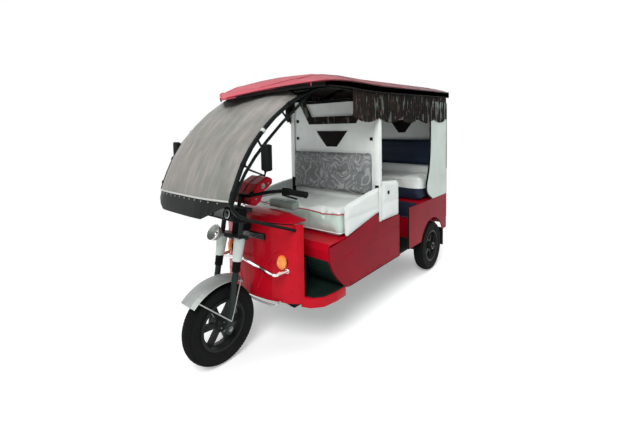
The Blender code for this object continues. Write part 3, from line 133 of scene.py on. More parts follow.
class Tree:
    """A node tree with short ways to add nodes and to join them."""

    def __init__(self, tree: bpy.types.NodeTree) -> None:
        """Wrap the node tree that nodes are added to."""
        self.tree = tree

    def set(self, node: Node, **settings: object) -> Node:
        """Give a node its settings.

        Args:
            node: The node.
            settings: Attributes of the node, or values or links of the input sockets with those names.

        Returns:
            The same node.
        """
        for key, value in settings.items():
            label = key.replace("_", " ")
            if hasattr(node, key) or label not in node.inputs:
                setattr(node, key, value)
            elif isinstance(value, Socket):
                self.join(value, node.inputs[label])
            else:
                node.inputs[label].default_value = value
        return node

    def add(self, kind: str, **settings: object) -> Node:
        """Add a node of a type, given without its ShaderNode prefix, with its settings."""
        return self.set(self.tree.nodes.new(kind if kind.startswith("Node") else "ShaderNode" + kind), **settings)

    def place(self) -> Socket:
        """The object's own coordinates."""
        return self.add("TexCoord").outputs["Object"]

    def axes(self, vector: Socket) -> Sequence[Socket]:
        """A vector's three parts."""
        return self.add("SeparateXYZ", Vector=vector).outputs

    def stretched(self, vector: Socket, scale: Colour) -> Socket:
        """Coordinates that are scaled differently on each axis."""
        return self.add("Mapping", Vector=vector, Scale=scale).outputs[0]

    def spread(self, value: Socket, low: float, high: float) -> Socket:
        """A value's range from low to high, spread over 0 to 1."""
        return self.add("MapRange", Value=value, From_Min=low, From_Max=high).outputs[0]

    def noise(self, vector: Socket, scale: Socket | float, **settings: float) -> Socket:
        """Noise of a scale over coordinates."""
        return self.add("TexNoise", Vector=vector, Scale=scale, **settings).outputs[0]

    def join(self, source: Socket, target: Socket) -> None:
        """Link an output socket to an input socket."""
        self.tree.links.new(source, target)

    def maths(self, operation: str, first: object, second: object = 0.0, clamp: bool = False) -> Socket:
        """Add a Math node.

        Args:
            operation: The node's operation.
            first: A socket or a number.
            second: A socket or a number.
            clamp: Whether the result is held between 0 and 1.

        Returns:
            The node's output socket.
        """
        node = self.add("Math", operation=operation, use_clamp=clamp)
        for index, value in enumerate((first, second)):
            if isinstance(value, (int, float)):
                node.inputs[index].default_value = value
            else:
                self.join(value, node.inputs[index])
        return node.outputs[0]

    def blend(self, share: Socket, first: object, second: object) -> Socket:
        """Mix two colours, or colour sockets, by a share from the first to the second."""
        node = self.add("Mix", data_type="RGBA")
        self.join(share, node.inputs[0])
        for index, value in ((6, first), (7, second)):
            if isinstance(value, tuple):
                node.inputs[index].default_value = (*value, 1.0)
            else:
                self.join(value, node.inputs[index])
        return node.outputs[2]


def effect(name: str, inputs: dict[str, float], fill: Callable[[Tree, Node, Socket], object]) -> bpy.types.NodeTree:
    """Make a shader node group with one value out, or give back the one that is there.

    Args:
        name: The group's name.
        inputs: Its inputs' names and starting values.
        fill: Builds its nodes from the tree, its input node and the object's coordinates,
            and gives back the socket of its result.

    Returns:
        The node group.
    """
    found = bpy.data.node_groups.get(name)
    if found:
        return found
    group = bpy.data.node_groups.new(name, "ShaderNodeTree")
    for label, value in inputs.items():
        socket = group.interface.new_socket(label, in_out="INPUT", socket_type="NodeSocketFloat")
        socket.default_value = value
    group.interface.new_socket("Value", in_out="OUTPUT", socket_type="NodeSocketFloat")
    tree = Tree(group)
    start = tree.add("NodeGroupInput")
    end = tree.add("NodeGroupOutput")
    tree.join(fill(tree, start, tree.place()), end.inputs["Value"])
    return group


def fill_mottle(tree: Tree, start: Node, place: Socket) -> Socket:
    """Broad soft patches, from 0 to 1."""
    return tree.spread(tree.noise(place, start.outputs["Scale"], Detail=4.0, Roughness=0.6), 0.35, 0.65)


def fill_pebble(tree: Tree, start: Node, place: Socket) -> Socket:
    """Rounded pebbles with creases between them, as on coated leather cloth."""
    scale = start.outputs["Scale"]
    cells = tree.add("TexVoronoi", feature="SMOOTH_F1", Vector=place, Scale=scale, Smoothness=0.4, Randomness=0.9)
    fine = tree.noise(place, tree.maths("MULTIPLY", scale, 0.35), Detail=2.0)
    domes = tree.maths("SUBTRACT", 1.0, cells.outputs["Distance"])
    return tree.maths("ADD", domes, tree.maths("MULTIPLY", fine, 0.5))


def fill_weave(tree: Tree, start: Node, place: Socket) -> Socket:
    """Two sets of crossing threads."""
    x, y, z = tree.axes(place)
    ways = (tree.maths("ADD", x, y), tree.maths("ADD", z, tree.maths("SUBTRACT", x, y)))
    waves = [tree.maths("SINE", tree.maths("MULTIPLY", way, start.outputs["Scale"])) for way in ways]
    return tree.maths("MAXIMUM", *(tree.maths("ABSOLUTE", wave) for wave in waves))


def fill_speckle(tree: Tree, start: Node, place: Socket) -> Socket:
    """Fine even noise, as on sprayed paint and moulded plastic."""
    return tree.noise(place, start.outputs["Scale"], Detail=2.0)


def fill_dust(tree: Tree, start: Node, place: Socket) -> Socket:
    """Road dust that is thickest near the ground and patchy everywhere."""
    low = tree.maths("SUBTRACT", 1.0, tree.maths("DIVIDE", tree.axes(place)[2], start.outputs["Height"]), True)
    patches = tree.noise(place, 9.0, Detail=5.0, Roughness=0.65)
    uneven = tree.maths("MULTIPLY", patches, tree.maths("ADD", low, 0.25))
    return tree.maths("MULTIPLY", uneven, start.outputs["Amount"], True)


def fill_scuffs(tree: Tree, start: Node, place: Socket) -> Socket:
    """Thin rubbed marks that run along the vehicle."""
    rubbed = tree.stretched(place, (1.5, 9.0, 14.0))
    marks = tree.maths("GREATER_THAN", tree.noise(rubbed, start.outputs["Scale"], Detail=6.0, Roughness=0.7), 0.66)
    return tree.maths("MULTIPLY", marks, start.outputs["Amount"])


EFFECTS: dict[str, tuple[dict[str, float], Callable]] = {
    "Mottle": ({"Scale": 4.0}, fill_mottle),
    "Pebble": ({"Scale": 500.0}, fill_pebble),
    "Weave": ({"Scale": 1500.0}, fill_weave),
    "Speckle": ({"Scale": 600.0}, fill_speckle),
    "Dust": ({"Height": 0.8, "Amount": 0.4}, fill_dust),
    "Scuffs": ({"Scale": 5.0, "Amount": 0.4}, fill_scuffs),
}

RELIEF = {                  # the effect that gives each surface its relief, its scale and its depth in metres
    Surface.PAINT: ("Speckle", 260.0, 0.00004),
    Surface.LEATHER: ("Pebble", 420.0, 0.00022),
    Surface.CLOTH: ("Weave", 1400.0, 0.00030),
    Surface.RUBBER: ("Speckle", 420.0, 0.00025),
    Surface.PLASTIC: ("Speckle", 900.0, 0.00010),
    Surface.METAL: ("Speckle", 500.0, 0.00003),
    Surface.CLEAR: ("Mottle", 9.0, 0.00040),
}


@dataclass(frozen=True)
class Finish:
    """One finish of the vehicle: its colours, gloss, relief and dust, and the slot and body of what wears it."""

    name: str
    slot: str
    surface: Surface
    colour: Colour
    shade: Colour
    roughness: float
    metallic: float = 0.0
    coat: float = 0.0
    sheen: float = 0.0
    alpha: float = 1.0
    specular: float = 0.4
    patch: float = 4.0
    dust: float = 0.08
    dust_height: float = 0.9
    pattern: Callable[[Tree, Socket], Socket] | None = None
    body: Body = Body.ROOT

    def on(self, body: Body = Body.ROOT, slot: str = "") -> Finish:
        """The same finish on another moving group, or in another of the record's material slots."""
        return replace(self, body=body, slot=slot or self.slot)

    def use(self, tree: Tree, label: str, **values: float) -> Socket:
        """Place a shared effect in a material.

        Args:
            tree: The material's tree.
            label: The effect's name.
            values: Values for the effect's inputs.

        Returns:
            The effect's output socket.
        """
        inputs, fill = EFFECTS[label]
        node = tree.tree.nodes.new("ShaderNodeGroup")
        node.node_tree = effect(label, inputs, fill)
        for key, value in values.items():
            node.inputs[key].default_value = value
        return node.outputs["Value"]

    def material(self) -> bpy.types.Material:
        """Give the finish's material, made on first use."""
        found = bpy.data.materials.get(self.name)
        if found:
            return found
        made = bpy.data.materials.new(self.name)
        made.use_nodes = True
        tree = Tree(made.node_tree)
        colour = tree.blend(self.use(tree, "Mottle", Scale=self.patch), self.colour, self.shade)
        if self.pattern:
            colour = self.pattern(tree, colour)
        dust = self.use(tree, "Dust", Height=self.dust_height, Amount=self.dust)
        worn = tree.maths("ADD", self.use(tree, "Scuffs", Amount=0.12), self.roughness)
        label, scale, depth = RELIEF[self.surface]
        bump = tree.add("Bump", Distance=depth, Strength=1.0, Height=self.use(tree, label, Scale=scale))
        tree.set(
            made.node_tree.nodes["Principled BSDF"], Metallic=self.metallic, Coat_Weight=self.coat,
            Coat_Roughness=0.06, Sheen_Weight=self.sheen, Specular_IOR_Level=self.specular, Alpha=self.alpha,
            Base_Color=tree.blend(dust, colour, DUST_COLOUR), Normal=bump.outputs[0],
            Roughness=tree.maths("ADD", worn, tree.maths("MULTIPLY", dust, 0.5), True),
        )
        return made


DUST_COLOUR: Colour = (0.17, 0.155, 0.135)


def swirl_print(tree: Tree, colour: Socket) -> Socket:
    """A generic printed design: pale arcs and flecks over the cloth's grey."""
    place = tree.place()
    field = tree.noise(place, 7.5, Detail=1.2, Distortion=0.9)
    ink = tree.spread(tree.maths("SINE", tree.maths("MULTIPLY", field, 46.0)), 0.10, 0.85)
    pale = tree.blend(tree.maths("MULTIPLY", ink, 0.6), colour, (0.40, 0.43, 0.42))
    spots = tree.maths("GREATER_THAN", tree.noise(place, 38.0, Detail=3.0), 0.60)
    return tree.blend(tree.maths("MULTIPLY", spots, 0.35), pale, (0.13, 0.14, 0.14))


def frill_print(tree: Tree, colour: Socket) -> Socket:
    """Pale upright streaks and small brown blooms, a plain generic furnishing print."""
    place = tree.place()
    blooms = tree.add("TexVoronoi", Vector=place, Scale=30.0)
    spots = tree.maths("LESS_THAN", blooms.outputs["Distance"], 0.30)
    streaks = tree.noise(tree.stretched(place, (1.0, 1.0, 0.22)), 38.0, Detail=3.0)
    pale = tree.maths("GREATER_THAN", streaks, 0.60)
    inked = tree.blend(tree.maths("MULTIPLY", pale, 0.6), colour, (0.17, 0.19, 0.165))
    return tree.blend(tree.maths("MULTIPLY", spots, 0.5), inked, (0.070, 0.030, 0.024))


def roof_painted_light(tree: Tree, colour: Socket) -> Socket:
    """Painted light on the roof skin: a paler painted highlight over the visor, painted shade that darkens it towards
    the rear, and faces that point downwards nearly black.
    """
    wander = tree.add("TexNoise", Scale=3.0, Detail=3.0).outputs[0]
    ahead = tree.maths("ADD", tree.axes(tree.place())[0], tree.maths("MULTIPLY", wander, 0.5))
    front, rear = tree.spread(ahead, 0.55, 1.25), tree.spread(ahead, 0.35, -0.75)
    # painted highlight towards the visor's tip and painted shade towards the rear, with their edges moved by noise
    highlit = tree.blend(tree.maths("MULTIPLY", front, 0.8), colour, (0.46, 0.060, 0.085))
    rear_shaded = tree.blend(tree.maths("MULTIPLY", rear, 0.7), highlit, (0.040, 0.008, 0.010))
    up = tree.axes(tree.add("NewGeometry").outputs["Normal"])[2]
    return tree.blend(tree.maths("LESS_THAN", up, -0.3), rear_shaded, (0.022, 0.014, 0.014))


def pale_streak_print(tree: Tree, colour: Socket) -> Socket:
    """Paler upright streaks over a flexible clear sheet."""
    noise = tree.noise(tree.stretched(tree.place(), (1.0, 6.0, 1.0)), 5.0, Detail=5.0, Roughness=0.6)
    return tree.blend(tree.maths("MULTIPLY", tree.spread(noise, 0.42, 0.72), 0.5), colour, (0.34, 0.30, 0.29))


RED = Finish(
    "red body paint", "red_paint", Surface.PAINT, (0.49, 0.003, 0.014), (0.39, 0.002, 0.011), 0.28, coat=0.07,
    specular=0.07, dust=0.02,
)
# The roof skin's pattern paints light on it: a painted highlight over the visor and painted shade towards the rear.
ROOF_RED = Finish(
    "roof skin", "roof_red", Surface.LEATHER, (0.155, 0.006, 0.016), (0.085, 0.005, 0.011), 0.46, specular=0.14,
    dust=0.03, dust_height=3.0, pattern=roof_painted_light,
)
WHITE = Finish(
    "white leather cloth", "white_vinyl", Surface.LEATHER, (0.76, 0.80, 0.77), (0.68, 0.73, 0.70), 0.42, sheen=0.1,
    patch=6.0,
)
PALE = Finish(
    "pale leather cloth", "pale_vinyl", Surface.LEATHER, (0.50, 0.62, 0.56), (0.41, 0.52, 0.46), 0.42, sheen=0.05,
    patch=6.0,
)
PRINT = Finish(
    "grey printed cloth", "grey_print", Surface.CLOTH, (0.14, 0.15, 0.15), (0.20, 0.21, 0.21), 0.64, specular=0.12,
    dust=0.02, pattern=swirl_print,
)
NAVY = Finish(
    "navy leather cloth", "navy_vinyl", Surface.LEATHER, (0.010, 0.018, 0.036), (0.016, 0.024, 0.044), 0.44,
    specular=0.12, dust=0.02,
)
BLACK = Finish(
    "black plastic", "black_plastic", Surface.PLASTIC, (0.004, 0.005, 0.005), (0.007, 0.008, 0.008), 0.46,
    specular=0.04, dust=0.01,
)
FRAME = Finish(
    "dark frame enamel", "frame_enamel", Surface.PAINT, (0.004, 0.006, 0.006), (0.007, 0.010, 0.009), 0.38,
    specular=0.05, dust=0.02,
)
FORK = Finish(
    "grey fork enamel", "frame_enamel", Surface.PAINT, (0.022, 0.032, 0.030), (0.014, 0.022, 0.020), 0.36,
    metallic=0.2, specular=0.12, dust=0.05,
)
SILVER = Finish(
    "silver paint", "silver", Surface.METAL, (0.46, 0.49, 0.47), (0.37, 0.40, 0.38), 0.34, metallic=0.4, coat=0.15,
    dust=0.10,
)
CHROME = Finish(
    "bright plating", "chrome", Surface.METAL, (0.78, 0.76, 0.76), (0.70, 0.68, 0.68), 0.14, metallic=1.0,
    dust=0.04,
)
STEEL = Finish(
    "bare steel", "silver", Surface.METAL, (0.30, 0.31, 0.30), (0.20, 0.20, 0.19), 0.38, metallic=1.0, dust=0.20,
)
CAST = Finish(
    "cast housing", "frame_enamel", Surface.PLASTIC, (0.026, 0.028, 0.027), (0.040, 0.040, 0.038), 0.55,
    metallic=0.4, specular=0.2, dust=0.16,
)
TYRE = Finish(
    "tyre rubber", "tyre_rubber", Surface.RUBBER, (0.004, 0.005, 0.005), (0.007, 0.008, 0.008), 0.74,
    specular=0.06, dust=0.05, dust_height=0.6,
)
RIM = Finish(
    "rim enamel", "rim_enamel", Surface.PAINT, (0.008, 0.011, 0.011), (0.013, 0.016, 0.015), 0.36, metallic=0.1,
    specular=0.10, dust=0.06,
)
SCREEN = Finish(
    "grey screen sheet", "screen_sheet", Surface.CLEAR, (0.200, 0.190, 0.172), (0.160, 0.168, 0.152), 0.30,
    alpha=0.95, specular=0.07, patch=5.0, dust=0.03, dust_height=4.0, pattern=pale_streak_print,
)
SEAM = Finish(
    "screen seam", "screen_sheet", Surface.PLASTIC, (0.42, 0.42, 0.40), (0.34, 0.35, 0.33), 0.35, specular=0.25,
    dust=0.04,
)
BAND = Finish(
    "dark screen band", "black_plastic", Surface.PLASTIC, (0.011, 0.013, 0.013), (0.020, 0.022, 0.021), 0.38,
    specular=0.05, dust=0.02, dust_height=3.0,
)
AMBER = Finish(
    "amber lens", "amber_lens", Surface.CLEAR, (0.86, 0.20, 0.025), (0.92, 0.34, 0.09), 0.18, coat=0.3,
    specular=0.3, patch=28.0, dust=0.02,
)
RED_LENS = Finish(
    "red lens", "red_lens", Surface.CLEAR, (0.50, 0.010, 0.014), (0.60, 0.020, 0.020), 0.16, coat=0.4, dust=0.02,
)
LAMP = Finish(
    "lamp glass", "lamp_glass", Surface.CLEAR, (0.46, 0.50, 0.50), (0.62, 0.66, 0.66), 0.10, coat=0.4, dust=0.03,
)
GLASS = Finish(
    "dark lamp glass", "lamp_glass", Surface.CLEAR, (0.020, 0.024, 0.024), (0.032, 0.036, 0.036), 0.14, coat=0.2,
    specular=0.2, dust=0.02,
)
PINK = Finish(
    "crimson piping", "white_vinyl", Surface.LEATHER, (0.50, 0.11, 0.13), (0.40, 0.06, 0.08), 0.40, specular=0.2,
    dust=0.02,
)
GREY_GREEN = Finish(
    "grey green moulding", "pale_vinyl", Surface.PLASTIC, (0.26, 0.33, 0.29), (0.20, 0.26, 0.23), 0.45,
    specular=0.2, dust=0.04,
)
FENDER = Finish(
    "mudguard paint", "silver", Surface.METAL, (0.34, 0.36, 0.35), (0.26, 0.28, 0.27), 0.40, metallic=0.3,
    specular=0.2, dust=0.16,
)
# Painted shade: the body's red paint, darkened for the side panels and their beads, swages and screws, which face
# sideways and catch less light.
SHADED_SIDE_RED = Finish(
    "red paint with painted side shade", "red_paint", Surface.PAINT, (0.27, 0.002, 0.013), (0.20, 0.002, 0.010), 0.32, coat=0.03,
    specular=0.05, dust=0.02,
)
SLIP = Finish(
    "pale slip paint", "silver", Surface.PAINT, (0.62, 0.68, 0.64), (0.50, 0.56, 0.52), 0.36, specular=0.25,
    dust=0.05,
)
FILM = Finish(
    "window film", "screen_sheet", Surface.CLEAR, (0.52, 0.55, 0.54), (0.40, 0.43, 0.42), 0.14, coat=0.2,
    alpha=0.45, dust=0.03,
)
CURTAIN = Finish(
    "pale hood cloth", "curtain", Surface.LEATHER, (0.60, 0.68, 0.63), (0.50, 0.58, 0.54), 0.46, sheen=0.15,
    dust=0.08, dust_height=2.5,
)
DARK_CLOTH = Finish(
    "dark edging cloth", "valance_cloth", Surface.CLOTH, (0.007, 0.007, 0.007), (0.014, 0.012, 0.010), 0.74,
    specular=0.06, dust=0.02,
)
FRILL = Finish(
    "printed frill cloth", "valance_cloth", Surface.CLOTH, (0.008, 0.009, 0.008), (0.020, 0.016, 0.013), 0.80,
    specular=0.06, dust=0.01, pattern=frill_print,
)
MAT = Finish(
    "ribbed floor mat", "floor_mat", Surface.RUBBER, (0.004, 0.015, 0.011), (0.007, 0.020, 0.014), 0.68,
    specular=0.08, dust=0.04,
)

NODE_FINISHES: dict[Finish, tuple[str, ...]] = {
    RED: (
        "handlebar_cowl", "front_shield", "dash_cowl", "driver_seat_box", "front_bench_box", "rear_tub",
        "tail_board",
    ),
    # the side panels wear the red darkened as painted shade
    SHADED_SIDE_RED: ("side_panel_left", "side_panel_right", "rear_side_left", "rear_side_right"),
    ROOF_RED: ("roof",),
    WHITE: (
        "bulkhead", "front_bench_cushion", "rear_cushion", "driver_seat_side_left", "driver_seat_side_right",
        "bench_side_pad_left", "bench_side_pad_right", "bench_back_panel",
    ),
    PALE: ("driver_cushion",),
    PRINT: ("driver_backrest",),
    NAVY: ("front_bench_backrest", "rear_backrest"),
    BLACK: ("handlebar", "headlamp", "battery_pack", "dash_grille", "mirror_left", "mirror_right"),
    FRAME: (
        "chassis_frame", "leaf_spring_left", "leaf_spring_right", "rear_axle", "cabin_frame",
        "windscreen_frame_left", "windscreen_frame_right",
    ),
    FORK: ("fork",),
    SILVER: ("horn", "rear_bumper"),
    FENDER: ("front_fender",),
    CHROME: ("leg_guard",),
    TYRE: ("front_tyre", "rear_left_tyre", "rear_right_tyre"),
    RIM: ("front_rim", "rear_left_rim", "rear_right_rim"),
    SCREEN: ("windscreen",),
    BAND: ("windscreen_band",),
    AMBER: ("turn_lamp_left", "turn_lamp_right"),
    RED_LENS: ("tail_lamp_left", "tail_lamp_right"),
    GLASS: ("headlamp_lens",),
    CURTAIN: ("rear_hood",),
    FRILL: ("valance_left", "valance_right"),
    MAT: ("floor_pan",),
}


def dress_frame() -> None:
    """Give every node of the frame its finish."""
    for finish, names in NODE_FINISHES.items():
        for name in names:
            mesh = frame["nodes"][name].data
            mesh.materials.clear()
            mesh.materials.append(finish.material())
    LOG.info("dressed %d nodes of the frame", sum(len(names) for names in NODE_FINISHES.values()))


# Shared ways of making a piece


def enter(
    bm: BMesh, name: str, finish: Finish, crease: float = 35.0, tidy: bool = True,
) -> Object:
    """Make a finished piece from a mesh in progress.

    Args:
        bm: The mesh, which is freed.
        name: The piece's name.
        finish: Its finish, which also says its moving group.
        crease: Edges sharper than this many degrees stay sharp.
        tidy: Whether doubles are merged and the faces turned outwards first.

    Returns:
        The piece.
    """
    if tidy:
        bmesh.ops.remove_doubles(bm, verts=bm.verts, dist=MERGE)
        bmesh.ops.recalc_face_normals(bm, faces=bm.faces)
    mesh = bpy.data.meshes.new(name)
    bm.to_mesh(mesh)
    bm.free()
    mesh.shade_smooth()
    mesh.set_sharp_from_angle(angle=math.radians(crease))
    mesh.materials.append(finish.material())
    piece = bpy.data.objects.new(name, mesh)
    bpy.context.scene.collection.objects.link(piece)
    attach(piece, finish.body.value)
    return piece


def block(bm: BMesh, low: Point, high: Point, bevel: float = 0.0, segments: int = 2) -> list[BMVert]:
    """Add a block between two corners.

    Args:
        bm: The mesh it is added to.
        low: Its lowest corner.
        high: Its highest corner.
        bevel: How far its edges are rounded.
        segments: Steps of the rounding.

    Returns:
        The block's vertices before its edges were rounded, or after if they were.
    """
    start, end = Vector(low), Vector(high)
    verts = bmesh.ops.create_cube(bm, size=1.0)["verts"]
    bmesh.ops.scale(bm, vec=end - start, verts=verts)
    bmesh.ops.translate(bm, vec=(start + end) / 2, verts=verts)
    if not bevel:
        return verts
    edges = list({edge for vert in verts for edge in vert.link_edges})
    faces = bmesh.ops.bevel(
        bm, geom=edges, offset=bevel, offset_type="OFFSET", segments=segments, profile=0.5, affect="EDGES", material=-1,
    )["faces"]
    return list({vert for face in faces for vert in face.verts})


def blocks(
    name: str, corners: Iterable[tuple[Point, Point]], finish: Finish, bevel: float, segments: int = 2,
) -> Object:
    """Make one piece of blocks, given by their lowest and highest corners, with rounded edges."""
    bm = bmesh.new()
    for low, high in corners:
        block(bm, low, high, bevel, segments)
    return enter(bm, name, finish)


def turned(bm: BMesh, profile: Sequence[tuple[float, float]], matrix: Matrix, steps: int = 32) -> None:
    """Add a shape turned round Z, then put it in place.

    Args:
        bm: The mesh it is added to.
        profile: Its radii and heights.
        matrix: Where it goes.
        steps: Steps of the full turn.
    """
    verts = [bm.verts.new((radius, 0.0, height)) for radius, height in profile]
    edges = [bm.edges.new(pair) for pair in zip(verts, verts[1:])]
    bmesh.ops.spin(
        bm, geom=verts + edges, cent=(0, 0, 0), axis=(0, 0, 1), dvec=(0, 0, 0), angle=2 * math.pi, steps=steps,
        use_merge=True, use_duplicate=False,
    )
    ring = [vert for vert in bm.verts if vert.is_valid and not vert.tag]
    bmesh.ops.transform(bm, matrix=matrix, verts=ring)
    for vert in ring:
        vert.tag = True


def facing(direction: Point, place: Point) -> Matrix:
    """A transform that turns +Z to a direction and moves the origin to a place."""
    turn = Vector(direction).to_track_quat("Z", "Y").to_matrix().to_4x4()
    return Matrix.Translation(Vector(place)) @ turn


def tube(
    points: Sequence[Point], radius: float, name: str, finish: Finish, sides: int = 3, closed: bool = False,
) -> Object:
    """A round bar, cable or piping along a path.

    Args:
        points: The path.
        radius: The bar's radius.
        name: The piece's name.
        finish: Its finish.
        sides: The curve's bevel resolution.
        closed: Whether the path is a loop.

    Returns:
        The piece.
    """
    curve = bpy.data.curves.new(name, "CURVE")
    curve.dimensions = "3D"
    curve.bevel_depth = radius
    curve.bevel_resolution = sides
    curve.use_fill_caps = not closed
    line = curve.splines.new("POLY")
    line.points.add(len(points) - 1)
    line.use_cyclic_u = closed
    for spot, point in zip(line.points, points):
        spot.co = (*point, 1.0)
    holder = bpy.data.objects.new(name, curve)
    bpy.context.scene.collection.objects.link(holder)
    bpy.context.view_layer.update()
    mesh = bpy.data.meshes.new_from_object(holder.evaluated_get(bpy.context.evaluated_depsgraph_get()))
    bpy.data.objects.remove(holder)
    bm = bmesh.new()
    bm.from_mesh(mesh)
    return enter(bm, name, finish, 50.0)


def smooth_path(points: Sequence[Point], steps: int = 6) -> list[Vector]:
    """A curve through points, as a row of closer points.

    Args:
        points: The points it passes.
        steps: Steps between two of them.

    Returns:
        The closer points.
    """
    knots = [Vector(point) for point in points]
    knots = [knots[0] * 2 - knots[1]] + knots + [knots[-1] * 2 - knots[-2]]
    out = []
    for a, b, c, d in zip(knots, knots[1:], knots[2:], knots[3:]):
        for index in range(steps):
            t = index / steps
            out.append(
                0.5 * (2 * b + (c - a) * t + (2 * a - 5 * b + 4 * c - d) * t * t + (3 * b - a - 3 * c + d) * t * t * t)
            )
    return out + [knots[-2]]


def at_stem(x: float, y: float, z: float) -> Vector:
    """A point ahead of the steering's axis, beside it and along it, in the vehicle's frame."""
    return STEM @ Vector((x, y, z))


def along_stem(x: float, y: float, z: float) -> Vector:
    """A way given in the steering's own frame, in the vehicle's frame."""
    return STEM.to_3x3() @ Vector((x, y, z))


def nose_x(y: float) -> float:
    """Front face of the leg shield at a distance from the centre line."""
    return NOSE_X - NOSE_CURVE * y * y


# Padded pieces


def solid_of(node: str) -> BMesh:
    """The mesh of one of the frame's nodes, where it stands, with its vertices joined."""
    source = frame["nodes"][node]
    bm = bmesh.new()
    bm.from_mesh(source.data)
    bm.transform(source.matrix_world)
    bmesh.ops.remove_doubles(bm, verts=bm.verts, dist=MERGE)
    return bm


@dataclass
class Seam:
    """A sewn line across a pad: the axis it is measured on and its share of that length."""

    axis: int
    share: float


@dataclass
class Pad:
    """A stuffed piece that swells between its sewn lines and stays flat where it rests.

    It starts from the outline of the solid that it stands for, a little inside its faces.
    """

    node: str
    finish: Finish
    rest: tuple[int, int]
    seams: tuple[Seam, ...] = ()
    margin: float = 0.009
    voxel: float = 0.010
    pressure: float = 4.0
    swell: float = 0.022
    seam_depth: float = 0.009
    seam_reach: float = 0.009
    piping: float = 0.0042
    rounding: int = 8
    frames: int = 20
    crown_room: float = 0.008
    outline_step: float = 0.014
    welt_step: float = 0.004

    def bake(self, piece: Object) -> None:
        """Give a piece the mesh that its modifiers make."""
        graph = bpy.context.evaluated_depsgraph_get()
        mesh = bpy.data.meshes.new_from_object(piece.evaluated_get(graph))
        piece.modifiers.clear()
        piece.data = mesh

    def rest_level(self) -> float:
        """Where the flat side lies on its axis."""
        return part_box(self.node)[0 if self.rest[1] < 0 else 1][self.rest[0]]

    def shell(self) -> Object:
        """The starting shape: the solid's own faces moved inwards, then meshed evenly."""
        axis, sign = self.rest
        bm = solid_of(self.node)
        bm.normal_update()
        level = self.rest_level()
        moves = [(vert, vert.normal * self.margin * min(vert.calc_shell_factor(), 2.0)) for vert in bm.verts]
        for vert, move in moves:
            flat = abs(vert.co[axis] - level) < 1e-4
            vert.co -= move
            if flat:
                vert.co[axis] = level - sign * NEIGHBOUR_GAP
        piece = enter(bm, self.node + "_soft", self.finish)
        remesh = piece.modifiers.new("Remesh", "REMESH")
        remesh.mode = "VOXEL"
        remesh.voxel_size = self.voxel
        smooth = piece.modifiers.new("Smooth", "SMOOTH")
        smooth.factor = 0.5
        smooth.iterations = self.rounding
        self.bake(piece)
        return piece

    def sew(self, piece: Object) -> list[int]:
        """Press the seams in and say which vertices stay where they are."""
        low, high = (Vector(corner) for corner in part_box(self.node))
        axis, level = self.rest[0], self.rest_level()
        held = []
        for vert in piece.data.vertices:
            if abs(vert.co[axis] - level) < self.voxel * 0.7:
                held.append(vert.index)
                continue
            for seam in self.seams:
                line = low[seam.axis] + (high[seam.axis] - low[seam.axis]) * seam.share
                away = abs(vert.co[seam.axis] - line)
                if away < self.seam_reach and abs(vert.normal[seam.axis]) < 0.6:
                    vert.co -= vert.normal * self.seam_depth * (1 - away / self.seam_reach)
                    held.append(vert.index)
                    break
        return held

    def inflate(self, piece: Object, held: list[int]) -> None:
        """Swell the piece as cloth under pressure, with the held vertices pinned."""
        group = piece.vertex_groups.new(name="held")
        group.add(held, 1.0, "REPLACE")
        before = [vert.co.copy() for vert in piece.data.vertices]
        cloth = piece.modifiers.new("Cloth", "CLOTH")
        settings = cloth.settings
        settings.quality = 4
        settings.mass = 0.3
        settings.tension_stiffness = settings.compression_stiffness = 22
        settings.bending_stiffness = 1.2
        settings.use_pressure = True
        settings.uniform_pressure_force = self.pressure
        settings.effector_weights.gravity = 0.0
        settings.vertex_group_mass = "held"
        cloth.collision_settings.use_collision = False
        scene = bpy.context.scene
        for number in range(1, self.frames + 1):
            scene.frame_set(number)
        self.bake(piece)
        scene.frame_set(1)
        low, high = (Vector(corner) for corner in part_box(self.node))
        for vert, start in zip(piece.data.vertices, before):
            move = vert.co - start
            if move.length > self.swell:
                vert.co = start + move.normalized() * self.swell
            for way in range(3):
                room = self.crown_room if way == self.rest[0] else 0.0
                vert.co[way] = min(max(vert.co[way], low[way] + NEIGHBOUR_GAP), high[way] + room - NEIGHBOUR_GAP)
        piece.vertex_groups.clear()

    def outline(self) -> list[Vector]:
        """Closely spaced points round the solid, seen along its resting axis."""
        across = [way for way in range(3) if way != self.rest[0]]
        source = frame["nodes"][self.node]
        spots = [source.matrix_world @ vert.co for vert in source.data.vertices]
        flat = [Vector((spot[across[0]], spot[across[1]])) for spot in spots]
        hull = [flat[index] for index in convex_hull_2d(flat)]
        points = []
        for here, there in zip(hull, hull[1:] + hull[:1]):
            steps = max(1, round((there - here).length / self.outline_step))
            points += [here.lerp(there, index / steps) for index in range(steps)]
        return points

    def welt(self, piece: Object, share: float, suffix: str) -> None:
        """Sew piping round the piece, on a level over its resting side."""
        low, high = (Vector(corner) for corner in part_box(self.node))
        axis, sign = self.rest
        level = self.rest_level() - sign * (high[axis] - low[axis]) * share
        across = [way for way in range(3) if way != axis]
        tree = BVHTree.FromObject(piece, bpy.context.evaluated_depsgraph_get())
        points: list[Vector] = []
        for flat in self.outline():
            spot = Vector((0.0, 0.0, 0.0))
            spot[axis], spot[across[0]], spot[across[1]] = level, flat.x, flat.y
            found = tree.find_nearest(spot)
            near = found[0] + found[1] * self.piping * 0.30
            if not points or (near - points[-1]).length > self.welt_step:
                points.append(near)
        if (points[0] - points[-1]).length < self.welt_step:
            points.pop()
        tube(points, self.piping, f"{self.node}_piping_{suffix}", self.finish, 2, True)

